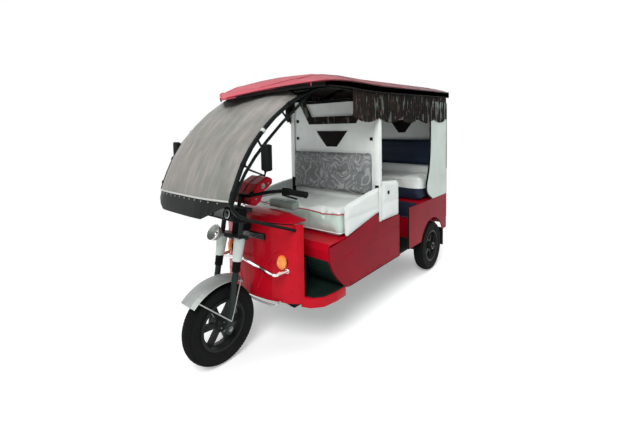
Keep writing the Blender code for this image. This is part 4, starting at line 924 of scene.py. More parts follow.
    def build(self, welts: Sequence[float] = (0.84,)) -> Object:
        """Make the pad with its piping.

        Args:
            welts: Levels of the piping, as shares of the thickness over the resting side.

        Returns:
            The pad.
        """
        piece = self.shell()
        held = self.sew(piece)
        self.inflate(piece, held)
        smooth = piece.modifiers.new("Smooth", "SMOOTH")
        smooth.factor = 0.5
        smooth.iterations = 2
        self.bake(piece)
        piece.data.shade_smooth()
        finer = piece.modifiers.new("Finer", "SUBSURF")
        finer.levels = finer.render_levels = 1
        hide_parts(self.node)
        for number, share in enumerate(welts):
            self.welt(piece, share, str(number + 1))
        LOG.info("stuffed %s", self.node)
        return piece


@dataclass
class Seats:
    """Cushions, backrests and side covers of the cab and of the passenger space."""

    skirt_z: float = 0.852

    def cushions(self) -> None:
        """Stuff the three cushions."""
        thirds = (Seam(1, 0.34), Seam(1, 0.66))
        halves = (Seam(1, 0.25), Seam(1, 0.5), Seam(1, 0.75))
        seat_pad = Pad("driver_cushion", WHITE, (2, -1), thirds)
        seat = seat_pad.build((0.10,))
        replace(seat_pad, finish=PINK, piping=0.0048).welt(seat, 0.90, "upper")
        seat.data.materials.append(PALE.material())
        for face in seat.data.polygons:
            if face.center.z < self.skirt_z and face.normal.z < 0.6:
                face.material_index = 1
        Pad("front_bench_cushion", WHITE, (2, -1), halves).build((0.8,))
        bench = Pad("rear_cushion", WHITE, (2, -1), halves).build((0.84, 0.52))
        # Below 0.842 m the cushion wears the dark navy finish as painted shade under its front edge.
        bench.data.materials.append(NAVY.material())
        for face in bench.data.polygons:
            if face.center.z < 0.842:
                face.material_index = 1

    def backs(self) -> None:
        """Stuff the three backrests."""
        halves, thirds = (Seam(2, 0.5),), (Seam(2, 0.35), Seam(2, 0.68))
        table = (                       # node, finish, the way its resting side faces, seams, swell, piping's level
            ("driver_backrest", PRINT, -1, halves, 0.012, 0.72),
            ("front_bench_backrest", NAVY, 1, thirds, 0.010, 0.70),
            ("rear_backrest", NAVY, -1, thirds, 0.012, 0.72),
        )
        for node, finish, way, seams, swell, level in table:
            Pad(node, finish, (0, way), seams, 0.006, swell=swell, seam_depth=0.006).build((level,))

    def covers(self) -> None:
        """Stuff the side covers of the driver's seat and of the front bench."""
        for side, label in SIDES:
            for node in ("driver_seat_side_", "bench_side_pad_"):
                Pad(
                    node + label, WHITE, (1, -side), (Seam(2, 0.42),), 0.005, 0.008, swell=0.006,
                    seam_depth=0.004, seam_reach=0.007, rounding=5,
                ).build((0.80,))

    def build(self) -> None:
        """Make every pad."""
        self.cushions()
        self.backs()
        self.covers()


@dataclass
class Hood:
    """The pale cloth hood behind and beside the rear bench, with soft creases."""

    pitch: float = 0.024
    crease: float = 0.0024

    def build(self) -> None:
        """Cut the hood's faces finely, then crease the cloth."""
        bm = solid_of("rear_hood")
        low, high = (Vector(corner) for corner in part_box("rear_hood"))
        for axis in range(3):
            way = Vector((0.0, 0.0, 0.0))
            way[axis] = 1.0
            level = low[axis] + self.pitch
            while level < high[axis] - 0.004:
                cut = list(bm.verts) + list(bm.edges) + list(bm.faces)
                bmesh.ops.bisect_plane(bm, geom=cut, plane_co=way * level, plane_no=way, dist=1e-6)
                level += self.pitch
        bm.normal_update()
        for vert, way in [(vert, vert.normal.copy()) for vert in bm.verts]:
            x, y, z = vert.co
            side = abs(way.y) > 0.8
            along = x if side else y
            sag = math.sin(27 * along + 2.2 * math.sin(4.3 * z)) * 0.6 + math.sin(11 * z + 5.1 * along) * 0.4
            inside = min(1.0, min(z - low.z, high.z - z) / 0.08)
            if max(abs(part) for part in way) > 0.8 and abs(way.z) < 0.5:
                vert.co += way * (self.crease * (sag * 0.5 - 0.4) * max(0.0, inside))
        piece = enter(bm, "hood_cloth", CURTAIN, 40.0)
        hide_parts("rear_hood")


# Roof lines that the cloth and the piping follow


def visor_share(x: float) -> float:
    """How far a line across the roof lies from the visor's start to its tip."""
    return max(0.0, (x - VISOR_START_X) / (VISOR_TIP_X - VISOR_START_X))


def roof_half_width(x: float) -> float:
    """Half the roof's width at a line across it."""
    share = max(0.0, (x - VISOR_TIP_X + VISOR_TAPER) / VISOR_TAPER)
    return TIP_HALF + (ROOF_HALF - TIP_HALF) * (1 - min(share, 1.0) ** 1.3)


def roof_edge(x: float) -> float:
    """Height of the roof's edge."""
    rear = max(0.0, x / ROOF_REAR)
    return 1.745 + 0.045 * rear - 0.119 * visor_share(x) ** 2.5


def roof_top(x: float, side: float) -> float:
    """Height of the roof's top, where side runs from -1 to 1 across it."""
    crown = 1.840 + 0.038 * max(0.0, x / ROOF_REAR) - 0.215 * visor_share(x) ** 1.8
    return crown - (crown - roof_edge(x)) * abs(side) ** 2.5


# Small pieces that many sub-assemblies use


def strip(path: Sequence[Point], width: float) -> list[tuple[float, float]]:
    """The closed outline of a ribbon laid to the left of an open path.

    Args:
        path: Its points, as two coordinates each.
        width: The ribbon's width.

    Returns:
        The outline's points.
    """
    points = [Vector(point) for point in path]
    ways = [(there - here).normalized() for here, there in zip(points, points[1:])]
    normals = [Vector((-way.y, way.x)) for way in ways]
    far = []
    for index, point in enumerate(points):
        before, after = normals[max(index - 1, 0)], normals[min(index, len(normals) - 1)]
        middle = (before + after).normalized()
        far.append(point + middle * width / middle.dot(after))
    return [tuple(point) for point in points] + [tuple(point) for point in reversed(far)]


def mirrored(half: float, start: float, end: float) -> list[tuple[float, float]]:
    """Corners of an outline that is even about the centre line: up one side and down the other."""
    return [(half, start), (half, end), (-half, end), (-half, start)]


def panel(bm: BMesh, outline: Sequence[Point], axis: int, low: float, high: float, bevel: float = 0.0) -> None:
    """Add a flat outline pushed along one axis.

    Args:
        bm: The mesh it is added to.
        outline: The other two coordinates of its points, in order.
        axis: The axis that it is pushed along.
        low: Where it starts.
        high: Where it ends.
        bevel: How far its edges are rounded.
    """
    verts = []
    for first, second in outline:
        spot = [first, second]
        spot.insert(axis, low)
        verts.append(bm.verts.new(spot))
    made = bmesh.ops.extrude_face_region(bm, geom=[bm.faces.new(verts)])["geom"]
    far = [item for item in made if isinstance(item, BMVert)]
    step = Vector((0.0, 0.0, 0.0))
    step[axis] = high - low
    bmesh.ops.translate(bm, vec=step, verts=far)
    if bevel:
        edges = list({edge for vert in verts + far for edge in vert.link_edges})
        bmesh.ops.bevel(
            bm, geom=edges, offset=bevel, offset_type="OFFSET", segments=2, profile=0.5, affect="EDGES", material=-1,
        )


def slab_of(
    name: str, outline: Sequence[Point], axis: int, span: tuple[float, float], finish: Finish, bevel: float = 0.001,
    twin: bool = False,
) -> Object:
    """Make one flat piece, and its twin on the other side of the vehicle if asked.

    Args:
        name: The piece's name.
        outline: Its outline.
        axis: The axis that it is pushed along.
        span: Where it starts and ends on that axis.
        finish: Its finish.
        bevel: How far its edges are rounded.
        twin: Whether the other side has one as well.

    Returns:
        The piece.
    """
    bm = bmesh.new()
    panel(bm, outline, axis, *span, bevel)
    if twin:
        mirror_over(bm)
    return enter(bm, name, finish)


def mirror_over(bm: BMesh) -> None:
    """Add the mirror image of a mesh on the other side of the vehicle."""
    copy = bmesh.ops.duplicate(bm, geom=list(bm.verts) + list(bm.edges) + list(bm.faces))["geom"]
    bmesh.ops.scale(bm, vec=(1, -1, 1), verts=[item for item in copy if isinstance(item, BMVert)])
    bmesh.ops.reverse_faces(bm, faces=[item for item in copy if isinstance(item, BMFace)])


def heads(
    name: str, places: Iterable[Point], way: Point, radius: float, finish: Finish, steps: int = 10,
) -> Object:
    """Make a set of domed bolt heads as one piece.

    Args:
        name: The piece's name.
        places: Where the heads sit.
        way: The way they all face.
        radius: Their radius.
        finish: Their finish.
        steps: Steps round a head; six make a hexagon.

    Returns:
        The piece.
    """
    bm = bmesh.new()
    profile = ((0, -0.1), (1.45, -0.1), (1.45, 0.12), (1.0, 0.16), (0.96, 0.62), (0.62, 0.86), (0, 0.94))
    for place in places:
        turned(bm, [(radius * r, radius * h) for r, h in profile], facing(way, place), steps)
    return enter(bm, name, finish)


def ring(
    name: str, places: Iterable[Point], way: Point, radius: float, bar: float, finish: Finish,
) -> Object:
    """Make round bezels as one piece.

    Args:
        name: The piece's name.
        places: Their centres.
        way: The way they face.
        radius: From a centre to the middle of its bar.
        bar: The bar's own radius.
        finish: Their finish.

    Returns:
        The piece.
    """
    bm = bmesh.new()
    turns = [2 * math.pi * index / 10 for index in range(11)]
    profile = [(radius + bar * math.cos(turn), bar * math.sin(turn)) for turn in turns]
    for place in places:
        turned(bm, profile, facing(way, place), 40)
    return enter(bm, name, finish, 60.0)


def stitches(name: str, path: Sequence[Point], out: Point, finish: Finish, pitch: float = 0.009) -> Object:
    """Sew a row of raised stitches along a path.

    Args:
        name: The piece's name.
        path: The path of the row.
        out: The way the cloth faces there.
        finish: The thread's finish.
        pitch: From one stitch to the next.

    Returns:
        The piece.
    """
    bm = bmesh.new()
    for here, there in zip(path, path[1:]):
        start, end = Vector(here), Vector(there)
        run = (end - start).normalized()
        count = max(1, int((end - start).length / pitch))
        frame_turn = Matrix((run, Vector(out).cross(run), Vector(out))).transposed().to_4x4()
        for index in range(count):
            verts = bmesh.ops.create_cube(bm, size=1.0)["verts"]
            spot = start.lerp(end, (index + 0.5) / count)
            size = Matrix.Diagonal((pitch * 0.62, 0.0014, 0.0012, 1.0))
            bmesh.ops.transform(bm, matrix=Matrix.Translation(spot) @ frame_turn @ size, verts=verts)
    return enter(bm, name, finish, tidy=False)


# Wheels and steering


@dataclass
class Wheels:
    """Treaded tyres, hub caps, trim rings, wheel nuts, valves and rear drums."""

    steps: int = 84
    lug: float = 0.0046
    chevron: float = 2.2
    nut_circle: float = 0.0265
    nut_face: float = 0.0553
    crown_radius: float = 0.2210
    crown_half: float = 0.0405

    def tyre(self, node: str, hub: Vector, body: Body) -> None:
        """Turn a tyre, then raise its tread blocks and slant them into chevrons."""
        side = [
            (0.1552, 0.036), (0.170, 0.0435), (0.176, 0.0445), (0.1785, 0.0467), (0.190, 0.0475), (0.205, 0.0470),
            (0.2085, 0.0478), (0.2120, 0.0462), (0.2215, 0.0440), (0.2265, 0.0405), (0.2333, 0.0265), (0.2372, 0.012),
        ]
        profile = [(r, -y) for r, y in side] + [(0.2382, 0.0)] + list(reversed(side)) + [(0.1552, -0.036)]
        bm = bmesh.new()
        turned(bm, profile, Matrix.Identity(4), self.steps)
        bmesh.ops.remove_doubles(bm, verts=bm.verts, dist=MERGE)
        bmesh.ops.recalc_face_normals(bm, faces=bm.faces)
        crown = [face for face in bm.faces if all(math.hypot(v.co.x, v.co.y) > self.crown_radius for v in face.verts)]
        bmesh.ops.inset_individual(bm, faces=crown, thickness=0.0025, depth=self.lug, use_even_offset=True)
        for vert in bm.verts:
            slant = self.chevron * min(abs(vert.co.z), self.crown_half)
            vert.co = Matrix.Rotation(slant, 3, "Z") @ vert.co
        place = Matrix.Translation(hub) @ Matrix.Rotation(math.pi / 2, 4, "X")
        bmesh.ops.transform(bm, matrix=place, verts=bm.verts)
        piece = enter(bm, node + "_treaded", TYRE.on(body), 28.0, tidy=False)
        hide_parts(node)

    def hub(self, label: str, hub: Vector, side: int, body: Body) -> None:
        """Fit the nuts, the trim ring and the valve on one face of a wheel, and a cap on a rear wheel's face."""
        out = Vector((0, side, 0))
        face = hub + out * self.nut_face
        turns = [2 * math.pi * index / 5 for index in range(5)]
        circle = [face + self.nut_circle * Vector((math.cos(turn), 0, math.sin(turn))) for turn in turns]
        heads(label + "_nuts", circle, out, 0.0052, STEEL.on(body, "rim_enamel"), 6)
        bm = bmesh.new()
        cap = [(0, 0.0), (0.019, 0.0), (0.019, 0.006), (0.0165, 0.0095), (0.010, 0.0120), (0, 0.0128)]
        if label.startswith("rear"):
            turned(bm, cap, facing(out, face), 28)
        lip = [
            (0.1372, 0.0395), (0.1405, 0.0442), (0.1465, 0.0450), (0.1505, 0.0428), (0.1488, 0.0395),
            (0.1372, 0.0395),
        ]
        turned(bm, lip, facing(out, hub), 64)
        enter(bm, label + "_trim_ring", RIM.on(body))
        stem = [hub + Vector((0.125, side * 0.012, 0.02)), hub + Vector((0.121, side * 0.030, 0.019))]
        tube(stem, 0.0035, label + "_valve", BLACK.on(body, "tyre_rubber"))

    def drum(self, label: str, hub: Vector, side: int, body: Body) -> None:
        """Fit the ribbed brake drum behind a rear wheel's web."""
        bm = bmesh.new()
        start = 0.012
        profile = [(0.0, start), (0.070, start)]
        for index in range(4):
            y = start + 0.004 + index * 0.009
            profile += [(0.088, y), (0.088, y + 0.004), (0.083, y + 0.005), (0.083, y + 0.008)]
        profile += [(0.086, start + 0.042), (0.060, start + 0.043), (0.0, start + 0.043)]
        turned(bm, profile, facing((0, -side, 0), hub), 44)
        enter(bm, label + "_drum", CAST.on(body))

    def build(self) -> None:
        """Dress all three wheels."""
        self.tyre("front_tyre", FRONT_HUB, Body.FRONT_WHEEL)
        for side, label in ((1, "front_near"), (-1, "front_far")):
            self.hub(label, FRONT_HUB, side, Body.FRONT_WHEEL)
        for side, name, body in ((1, "rear_left", Body.REAR_LEFT), (-1, "rear_right", Body.REAR_RIGHT)):
            hub = Vector((REAR_AXLE_X, side * REAR_TRACK / 2, TYRE_RADIUS))
            self.tyre(name + "_tyre", hub, body)
            self.hub(name, hub, side, body)
            self.drum(name, hub, side, body)


@dataclass
class FrontFork:
    """Covers, gaiters, yoke bolts, axle nuts and mudguard stays."""

    cover_low: float = 0.396
    cover_high: float = 0.534
    gaiter_low: float = 0.330
    gaiter_ribs: int = 7
    guard_half: float = 0.0700
    guard_reach: float = 0.2705         # from the axle to the mudguard's edge

    def covers(self) -> None:
        """Sleeve both legs under the lower yoke and seal them with ribbed gaiters."""
        covers, gaiters = bmesh.new(), bmesh.new()
        low, high = self.cover_low, self.cover_high
        cover = [
            (0, low), (0.0275, low), (0.0290, low + 0.004), (0.0290, low + 0.012), (0.0282, low + 0.015),
            (0.0342, high - 0.030), (0.0342, high - 0.010), (0.0300, high), (0, high),
        ]
        bellows = [(0, self.gaiter_low)]
        pitch = (low - self.gaiter_low) / self.gaiter_ribs
        for index in range(self.gaiter_ribs):
            start = self.gaiter_low + pitch * index
            bellows += [(0.0205, start), (0.0262, start + pitch * 0.45), (0.0262, start + pitch * 0.62)]
        bellows += [(0.0205, low), (0, low)]
        for y in (-LEG_Y, LEG_Y):
            place = STEM @ Matrix.Translation((FORK_OFFSET, y, 0))
            turned(covers, cover, place, 36)
            turned(gaiters, bellows, place, 32)
        enter(covers, "fork_covers", SLIP.on(Body.STEERING))
        enter(gaiters, "fork_gaiters", TYRE.on(Body.STEERING), 25.0)

    def fixings(self) -> None:
        """Bolt the yokes and the axle."""
        up = along_stem(0, 0, 1)
        tops = [at_stem(FORK_OFFSET, y, 0.731) for y in (-LEG_Y, LEG_Y)]
        heads("stanchion_caps", tops, up, 0.0125, CHROME.on(Body.STEERING), 6)
        ahead = along_stem(1, 0, 0)
        pinch = [at_stem(0.0615, y, 0.533) for y in (-0.108, -0.072, 0.072, 0.108)]
        heads("yoke_pinch_bolts", pinch, ahead, 0.0048, STEEL.on(Body.STEERING), 6)
        for side in (1, -1):
            end = at_stem(FORK_OFFSET, side * 0.1095, 0)
            heads(f"axle_nut_{'far' if side < 0 else 'near'}", [end], (0, side, 0), 0.0115, STEEL.on(Body.STEERING), 6)

    def rim_point(self, turn: float, side: int, reach: float) -> Vector:
        """A point over one edge of the front wheel, at an angle and a distance from its axle."""
        return FRONT_HUB + Vector((math.cos(turn) * reach, side * self.guard_half, math.sin(turn) * reach))

    def stays(self) -> None:
        """Tie the mudguard to the legs with thin bars, and bead its edges."""
        for side, label in ((1, "near"), (-1, "far")):
            for number, (angle, reach) in enumerate(((114, 0.279), (50, 0.283))):
                tip = self.rim_point(math.radians(angle), side, reach)
                foot = at_stem(FORK_OFFSET, side * 0.107, 0.045)
                knee = foot.lerp(tip, 0.25) + Vector((0, side * 0.004, 0))
                path, name = smooth_path([foot, knee, tip], 5), f"mudguard_stay_{label}_{number + 1}"
                tube(path, 0.0038, name, SILVER.on(Body.STEERING))
            edge = []
            for step in range(17):
                share = step / 16
                turn = math.radians(42 + 76 * share)
                edge.append(self.rim_point(turn, side, self.guard_reach + 0.012 * (1 - share) ** 2))
            tube(edge, 0.0032, f"mudguard_bead_{label}", SILVER.on(Body.STEERING), 2)

    def build(self) -> None:
        """Dress the fork."""
        self.covers()
        self.fixings()
        self.stays()


@dataclass
class Controls:
    """Grips, switches, lock, lamp bezels and horn."""

    bend: Point = (-0.155, 0.225, 0.845)
    tip: Point = (-0.185, 0.398, 0.838)
    grip: float = 0.125
    lamp_y: float = 0.085
    horn_tilt: float = math.radians(68)

    def grips(self) -> None:
        """Slip ribbed grips with end flanges over the bar's ends, and fit the switch pods."""
        for side, label in SIDES:
            mirror = Vector((1, side, 1))
            bend, tip = Vector(self.bend) * mirror, Vector(self.tip) * mirror
            run = (tip - bend).normalized()
            ribs, pod = bmesh.new(), bmesh.new()
            profile = [(0, 0.0), (0.0235, 0.0), (0.0235, 0.004), (0.0185, 0.006)]
            count = 15
            pitch = (self.grip - 0.016) / count
            for index in range(count):
                start = 0.010 + pitch * index
                profile += [
                    (0.0178, start), (0.0192, start + pitch * 0.25), (0.0192, start + pitch * 0.70),
                    (0.0178, start + pitch * 0.95),
                ]
            profile += [
                (0.0200, self.grip - 0.004), (0.0205, self.grip + 0.004), (0.016, self.grip + 0.009),
                (0, self.grip + 0.010),
            ]
            turned(ribs, profile, STEM @ facing(run, tip - run * self.grip), 32)
            enter(ribs, f"grip_{label}", TYRE.on(Body.STEERING), 25.0)
            centre = tip - run * (self.grip + 0.027)
            block(pod, (-0.022, -0.024, -0.018), (0.026, 0.022, 0.020), 0.006, 3)
            bmesh.ops.transform(pod, matrix=STEM @ facing(run, centre), verts=pod.verts)
            enter(pod, f"switch_pod_{label}", BLACK.on(Body.STEERING))
            back = along_stem(-1, 0, 0.4)
            keys = [STEM @ (centre + run * step + Vector((-0.024, 0, 0.006))) for step in (-0.009, 0.009)]
            finish = RED_LENS if side > 0 else SILVER
            heads(f"switch_keys_{label}", keys, back, 0.0045, finish.on(Body.STEERING, "red_lens"))

    def lamps(self) -> None:
        """Ring the headlamps, shade them with a brow and finish the horn."""
        ahead = along_stem(1, 0, 0)
        centres = [at_stem(0.1475, y, 0.681) for y in (-self.lamp_y, self.lamp_y)]
        ring("headlamp_bezels", centres, ahead, 0.0335, 0.0042, BLACK.on(Body.STEERING))
        domes = bmesh.new()
        for centre in centres:
            profile = [(0, 0.0065), (0.012, 0.0058), (0.023, 0.0030), (0.0315, -0.0030), (0.0315, -0.008), (0, -0.008)]
            turned(domes, profile, facing(ahead, centre), 36)
        enter(domes, "headlamp_domes", LAMP.on(Body.STEERING))
        brow = bmesh.new()
        block(brow, (0.120, -0.168, 0.7215), (0.163, 0.168, 0.7265), 0.002)
        bmesh.ops.transform(brow, matrix=STEM, verts=brow.verts)
        enter(brow, "headlamp_brow", BLACK.on(Body.STEERING))
        mouth = at_stem(0.091 + 0.0464, -LEG_Y / 2, 0.532 + 0.0187)
        way = along_stem(math.sin(self.horn_tilt), 0, math.cos(self.horn_tilt))
        ring("horn_rim", [mouth], way, 0.0505, 0.0028, CHROME.on(Body.STEERING))
        heads("horn_boss", [mouth - way * 0.030], way, 0.013, CHROME.on(Body.STEERING), 24)

    def cowl(self) -> None:
        """Fit the lock, the dial, a seam, screws and a black knob to the instrument cowl."""
        side = along_stem(0, 1, 0)
        lock = at_stem(-0.105, 0.0885, 0.860)
        heads("steering_lock", [lock], side, 0.012, STEEL.on(Body.STEERING), 24)
        heads("cowl_knob", [at_stem(-0.020, 0.0885, 0.803)], side, 0.0135, BLACK.on(Body.STEERING), 24)
        line = [(-0.020, 0.745), (-0.0185, 0.800), (-0.062, 0.8715), (-0.141, 0.9265), (-0.1845, 0.9165)]
        path = [at_stem(x, 0.0, z) for x, z in line]
        tube(smooth_path(path, 4), 0.0022, "cowl_seam", BLACK.on(Body.STEERING), 2)
        centre, way = at_stem(-0.1625, 0.0, 0.9215), along_stem(-0.217, 0.0, 0.976)
        ring("dial_bezel", [centre], way, 0.0190, 0.0026, CHROME.on(Body.STEERING))
        heads("dial_glass", [centre - way * 0.0030], way, 0.0125, GLASS.on(Body.STEERING), 32)
        screws = [at_stem(x, 0.0883, z) for x, z in ((-0.060, 0.775), (-0.150, 0.880))]
        heads("cowl_screws", screws, side, 0.0042, STEEL.on(Body.STEERING))

    def build(self) -> None:
        """Dress the controls."""
        self.grips()
        self.lamps()
        self.cowl()


# Nose, cab floor and sides


@dataclass
class Nose:
    """Bindings, swages, lamp bezels, slats and screws of the leg shield, with its tray and low rail."""

    half: float = 0.330
    low: float = 0.340
    top: float = 0.840

    def face(self, y: float, z: float, stand: float = 0.0) -> Vector:
        """A point on the shield's face."""
        return Vector((nose_x(y) + stand, y, z))

    def bindings(self) -> None:
        """Bind the shield's edges and press two swages into its face."""
        lines = [self.half * (1 - index / 10) for index in range(21)]
        foot = [self.face(y, self.low + 0.002, -0.003) for y in lines]
        tube(foot, 0.0062, "shield_foot_binding", RED, 2)
        seam = [self.face(y, self.top + 0.0004, 0.0005) for y in lines]
        tube(seam, 0.0034, "shield_cowl_seam", BLACK, 2)
        for side, label in SIDES:
            x, y = nose_x(self.half) - 0.046, side * (self.half + 0.0405)
            tube([(x, y, self.low + 0.004), (x, y, self.top - 0.004)], 0.0060, f"shield_side_binding_{label}", RED, 2)
            swage = [(0.075, 0.400), (0.110, 0.470), (0.150, 0.560), (0.205, 0.640), (0.300, 0.690)]
            path = [self.face(side * y, z, -0.0016) for y, z in swage]
            tube(smooth_path(path, 5), 0.0048, f"shield_swage_{label}", RED, 2)

    def fittings(self) -> None:
        """Ring the turn lamps, slat the grille and fix the guard's ends."""
        for side, label in SIDES:
            y = side * 0.262
            slope = 2 * 0.0817 * abs(y) / self.half ** 2
            way = Vector((1.0, side * slope, 0.0))
            ring(f"turn_lamp_bezel_{label}", [self.face(y, 0.598, 0.003)], way, 0.0345, 0.0038, BLACK)
            clamp = [self.face(side * 0.292, 0.545, 0.002)]
            heads(f"guard_fixing_{label}", clamp, way, 0.0105, CHROME, 24)
            places = ((0.312, 0.42), (0.312, 0.52), (0.312, 0.70), (0.312, 0.79), (0.2, 0.365))
            screws = [self.face(side * y, z, 0.0006) for y, z in places]
            heads(f"shield_screws_{label}", screws, way, 0.0048, RED)
        for number in range(4):
            z = 0.7325 + 0.0095 * number
            bar = [self.face(0.146 * (1 - index / 6), z, 0.0090) for index in range(13)]
            tube(bar, 0.0024, f"grille_slat_{number + 1}", STEEL.on(slot="black_plastic"), 1)
        tray = bmesh.new()
        block(tray, (0.664, -0.010, 0.893), (0.724, 0.232, 0.946), 0.014, 3)
        block(tray, (0.672, 0.010, 0.944), (0.716, 0.212, 0.950), 0.002)
        enter(tray, "dash_tray", GREY_GREEN)
        rail = [
            (0.875, 0.250, 0.345), (0.916, 0.226, 0.331), (0.926, 0.0, 0.329), (0.916, -0.226, 0.331),
            (0.875, -0.250, 0.345),
        ]
        tube(smooth_path(rail, 6), 0.0070, "low_rail", SILVER)

    def build(self) -> None:
        """Dress the nose."""
        self.bindings()
        self.fittings()


@dataclass
class CabFloor:
    """Ribbed mats, red step caps with their treads, and the brake pedal."""

    rib: float = 0.0022
    pitch: float = 0.0145
    side: tuple[tuple[float, float], ...] = ((0.500, 0.4627), (0.600, 0.4627), (0.700, 0.4465), (0.755, 0.4000))

    def half(self, x: float) -> float:
        """Half the mat's width at a line across the cab."""
        for (x0, y0), (x1, y1) in zip(self.side, self.side[1:]):
            if x <= x1:
                return y0 + (y1 - y0) * (x - x0) / (x1 - x0) - 0.032
        return self.side[-1][1] - 0.032

    def mats(self) -> None:
        """Rib both floors."""
        for name, start, end in (("cab_mat_ribs", 0.525, 0.752), ("passenger_mat_ribs", -0.725, -0.315)):
            ribs = []
            x = start
            while x < end:
                half = self.half(max(x, 0.5))
                ribs.append(((x, -half, FLOOR_Z - 0.0004), (x + 0.006, half, FLOOR_Z + self.rib)))
                x += self.pitch
            blocks(name, ribs, MAT, 0.0008, 1)

    def steps(self) -> None:
        """Cap the floor's side edges in red, with a rubber tread on top."""
        path = [*self.side, (0.775, 0.3450)]
        outline = strip([(x, y + 0.0008) for x, y in path], 0.0262)
        slab_of("step_caps", outline, 2, (FLOOR_Z - 0.049, FLOOR_Z + 0.0132), RED, 0.005, True)
        # The dark ribbed mat over the seat box's sloping front is partly a kick mat and partly painted shade of the
        # footwell.
        sweep = [(0.646, 0.580), (0.612, 0.508), (0.560, 0.440), (0.512, 0.3925), (0.500, 0.3765)]
        slab_of("seat_foot_mat", strip(sweep, 0.0046), 1, (-0.4570, 0.4570), MAT, 0.0012)
        ribs = []
        for (x0, z0), (x1, z1) in zip(sweep, sweep[1:-1]):
            run = Vector((x1 - x0, z1 - z0)).normalized()
            for share in (0.2, 0.5, 0.8):
                x, z = x0 + (x1 - x0) * share - run.y * 0.0052, z0 + (z1 - z0) * share + run.x * 0.0052
                ribs.append(((x - 0.003, -0.450, z - 0.003), (x + 0.003, 0.450, z + 0.003)))
        blocks("seat_foot_mat_ribs", ribs, MAT, 0.001, 1)
        tread = strip([(x, y + 0.006) for x, y in path[:4]], 0.014)
        slab_of("step_treads", tread, 2, (FLOOR_Z + 0.0128, FLOOR_Z + 0.0152), MAT, 0.0008, True)

    def pedal(self) -> None:
        """Hang the brake pedal on the right of the neck."""
        bm = bmesh.new()
        block(bm, (-0.034, -0.028, -0.005), (0.034, 0.028, 0.005), 0.003)
        for index in range(5):
            x = -0.026 + index * 0.013
            block(bm, (x - 0.003, -0.024, 0.004), (x + 0.003, 0.024, 0.0085), 0.001, 1)
        place = Matrix.Translation((0.700, -0.105, 0.447)) @ Matrix.Rotation(math.radians(-38), 4, "Y")
        bmesh.ops.transform(bm, matrix=place, verts=bm.verts)
        enter(bm, "brake_pedal_pad", TYRE)
        arm = [(0.703, -0.105, 0.441), (0.735, -0.105, 0.420), (0.758, -0.105, 0.385), (0.762, -0.105, 0.3615)]
        tube(smooth_path(arm, 4), 0.0075, "brake_pedal_arm", FRAME)

    def build(self) -> None:
        """Lay the floors."""
        self.mats()
        self.steps()
        self.pedal()


@dataclass
class Sides:
    """Beads, swages, sill strips and screws of the red side panels."""

    half: float = BODY_HALF

    def build(self) -> None:
        """Dress both sides."""
        top = [(0.655, 0.666), (0.460, 0.685), (0.060, 0.776)]
        front = [(0.455, 0.354), (0.505, 0.385), (0.560, 0.440), (0.612, 0.508), (0.645, 0.580), (0.655, 0.665)]
        turns = [math.radians(22.1 + 135.8 * index / 24) for index in range(25)]
        arch = [(REAR_AXLE_X + 0.291 * math.cos(turn), TYRE_RADIUS + 0.291 * math.sin(turn)) for turn in turns]
        beads = (                       # name, its path's x and z, radius, finish
            ("panel_front_bead", front, 0.0058, SHADED_SIDE_RED),
            ("panel_top_bead", top, 0.0052, SHADED_SIDE_RED),
            ("arch_bead", arch, 0.0056, SHADED_SIDE_RED),
            ("door_bead_rear", [(-0.479, 0.356), (-0.479, 0.718)], 0.0055, BLACK),
            ("door_bead_front", [(-0.299, 0.356), (-0.299, 0.698)], 0.0055, BLACK),
        )
        places = (
            (0.42, 0.372), (0.22, 0.372), (0.02, 0.372), (-0.18, 0.372), (-0.28, 0.45), (-0.28, 0.60), (-0.50, 0.45),
            (-0.50, 0.60), (-0.62, 0.372), (-1.345, 0.45), (-1.345, 0.62),
        )
        for side, label in SIDES:
            y = side * (self.half - 0.004)
            for name, path, radius, finish in beads:
                tube([(x, y, z) for x, z in path], radius, f"{name}_{label}", finish, 2)
            screws = [(x, side * (self.half + 0.0002), z) for x, z in places]
            heads(f"panel_screws_{label}", screws, (0, side, 0), 0.0046, SHADED_SIDE_RED)
            swage = [(x, y + side * 0.0022, z) for x, z in ((0.500, 0.560), (0.200, 0.600), (-0.280, 0.610))]
            tube(smooth_path(swage, 6), 0.0050, f"panel_swage_{label}", SHADED_SIDE_RED, 2)
        sill = [(0.440, 0.3545), (-0.296, 0.3545), (-0.296, 0.3485), (0.436, 0.3485)]
        slab_of("sill_strips", sill, 1, (0.4610, 0.4765), BLACK, 0.001, True)


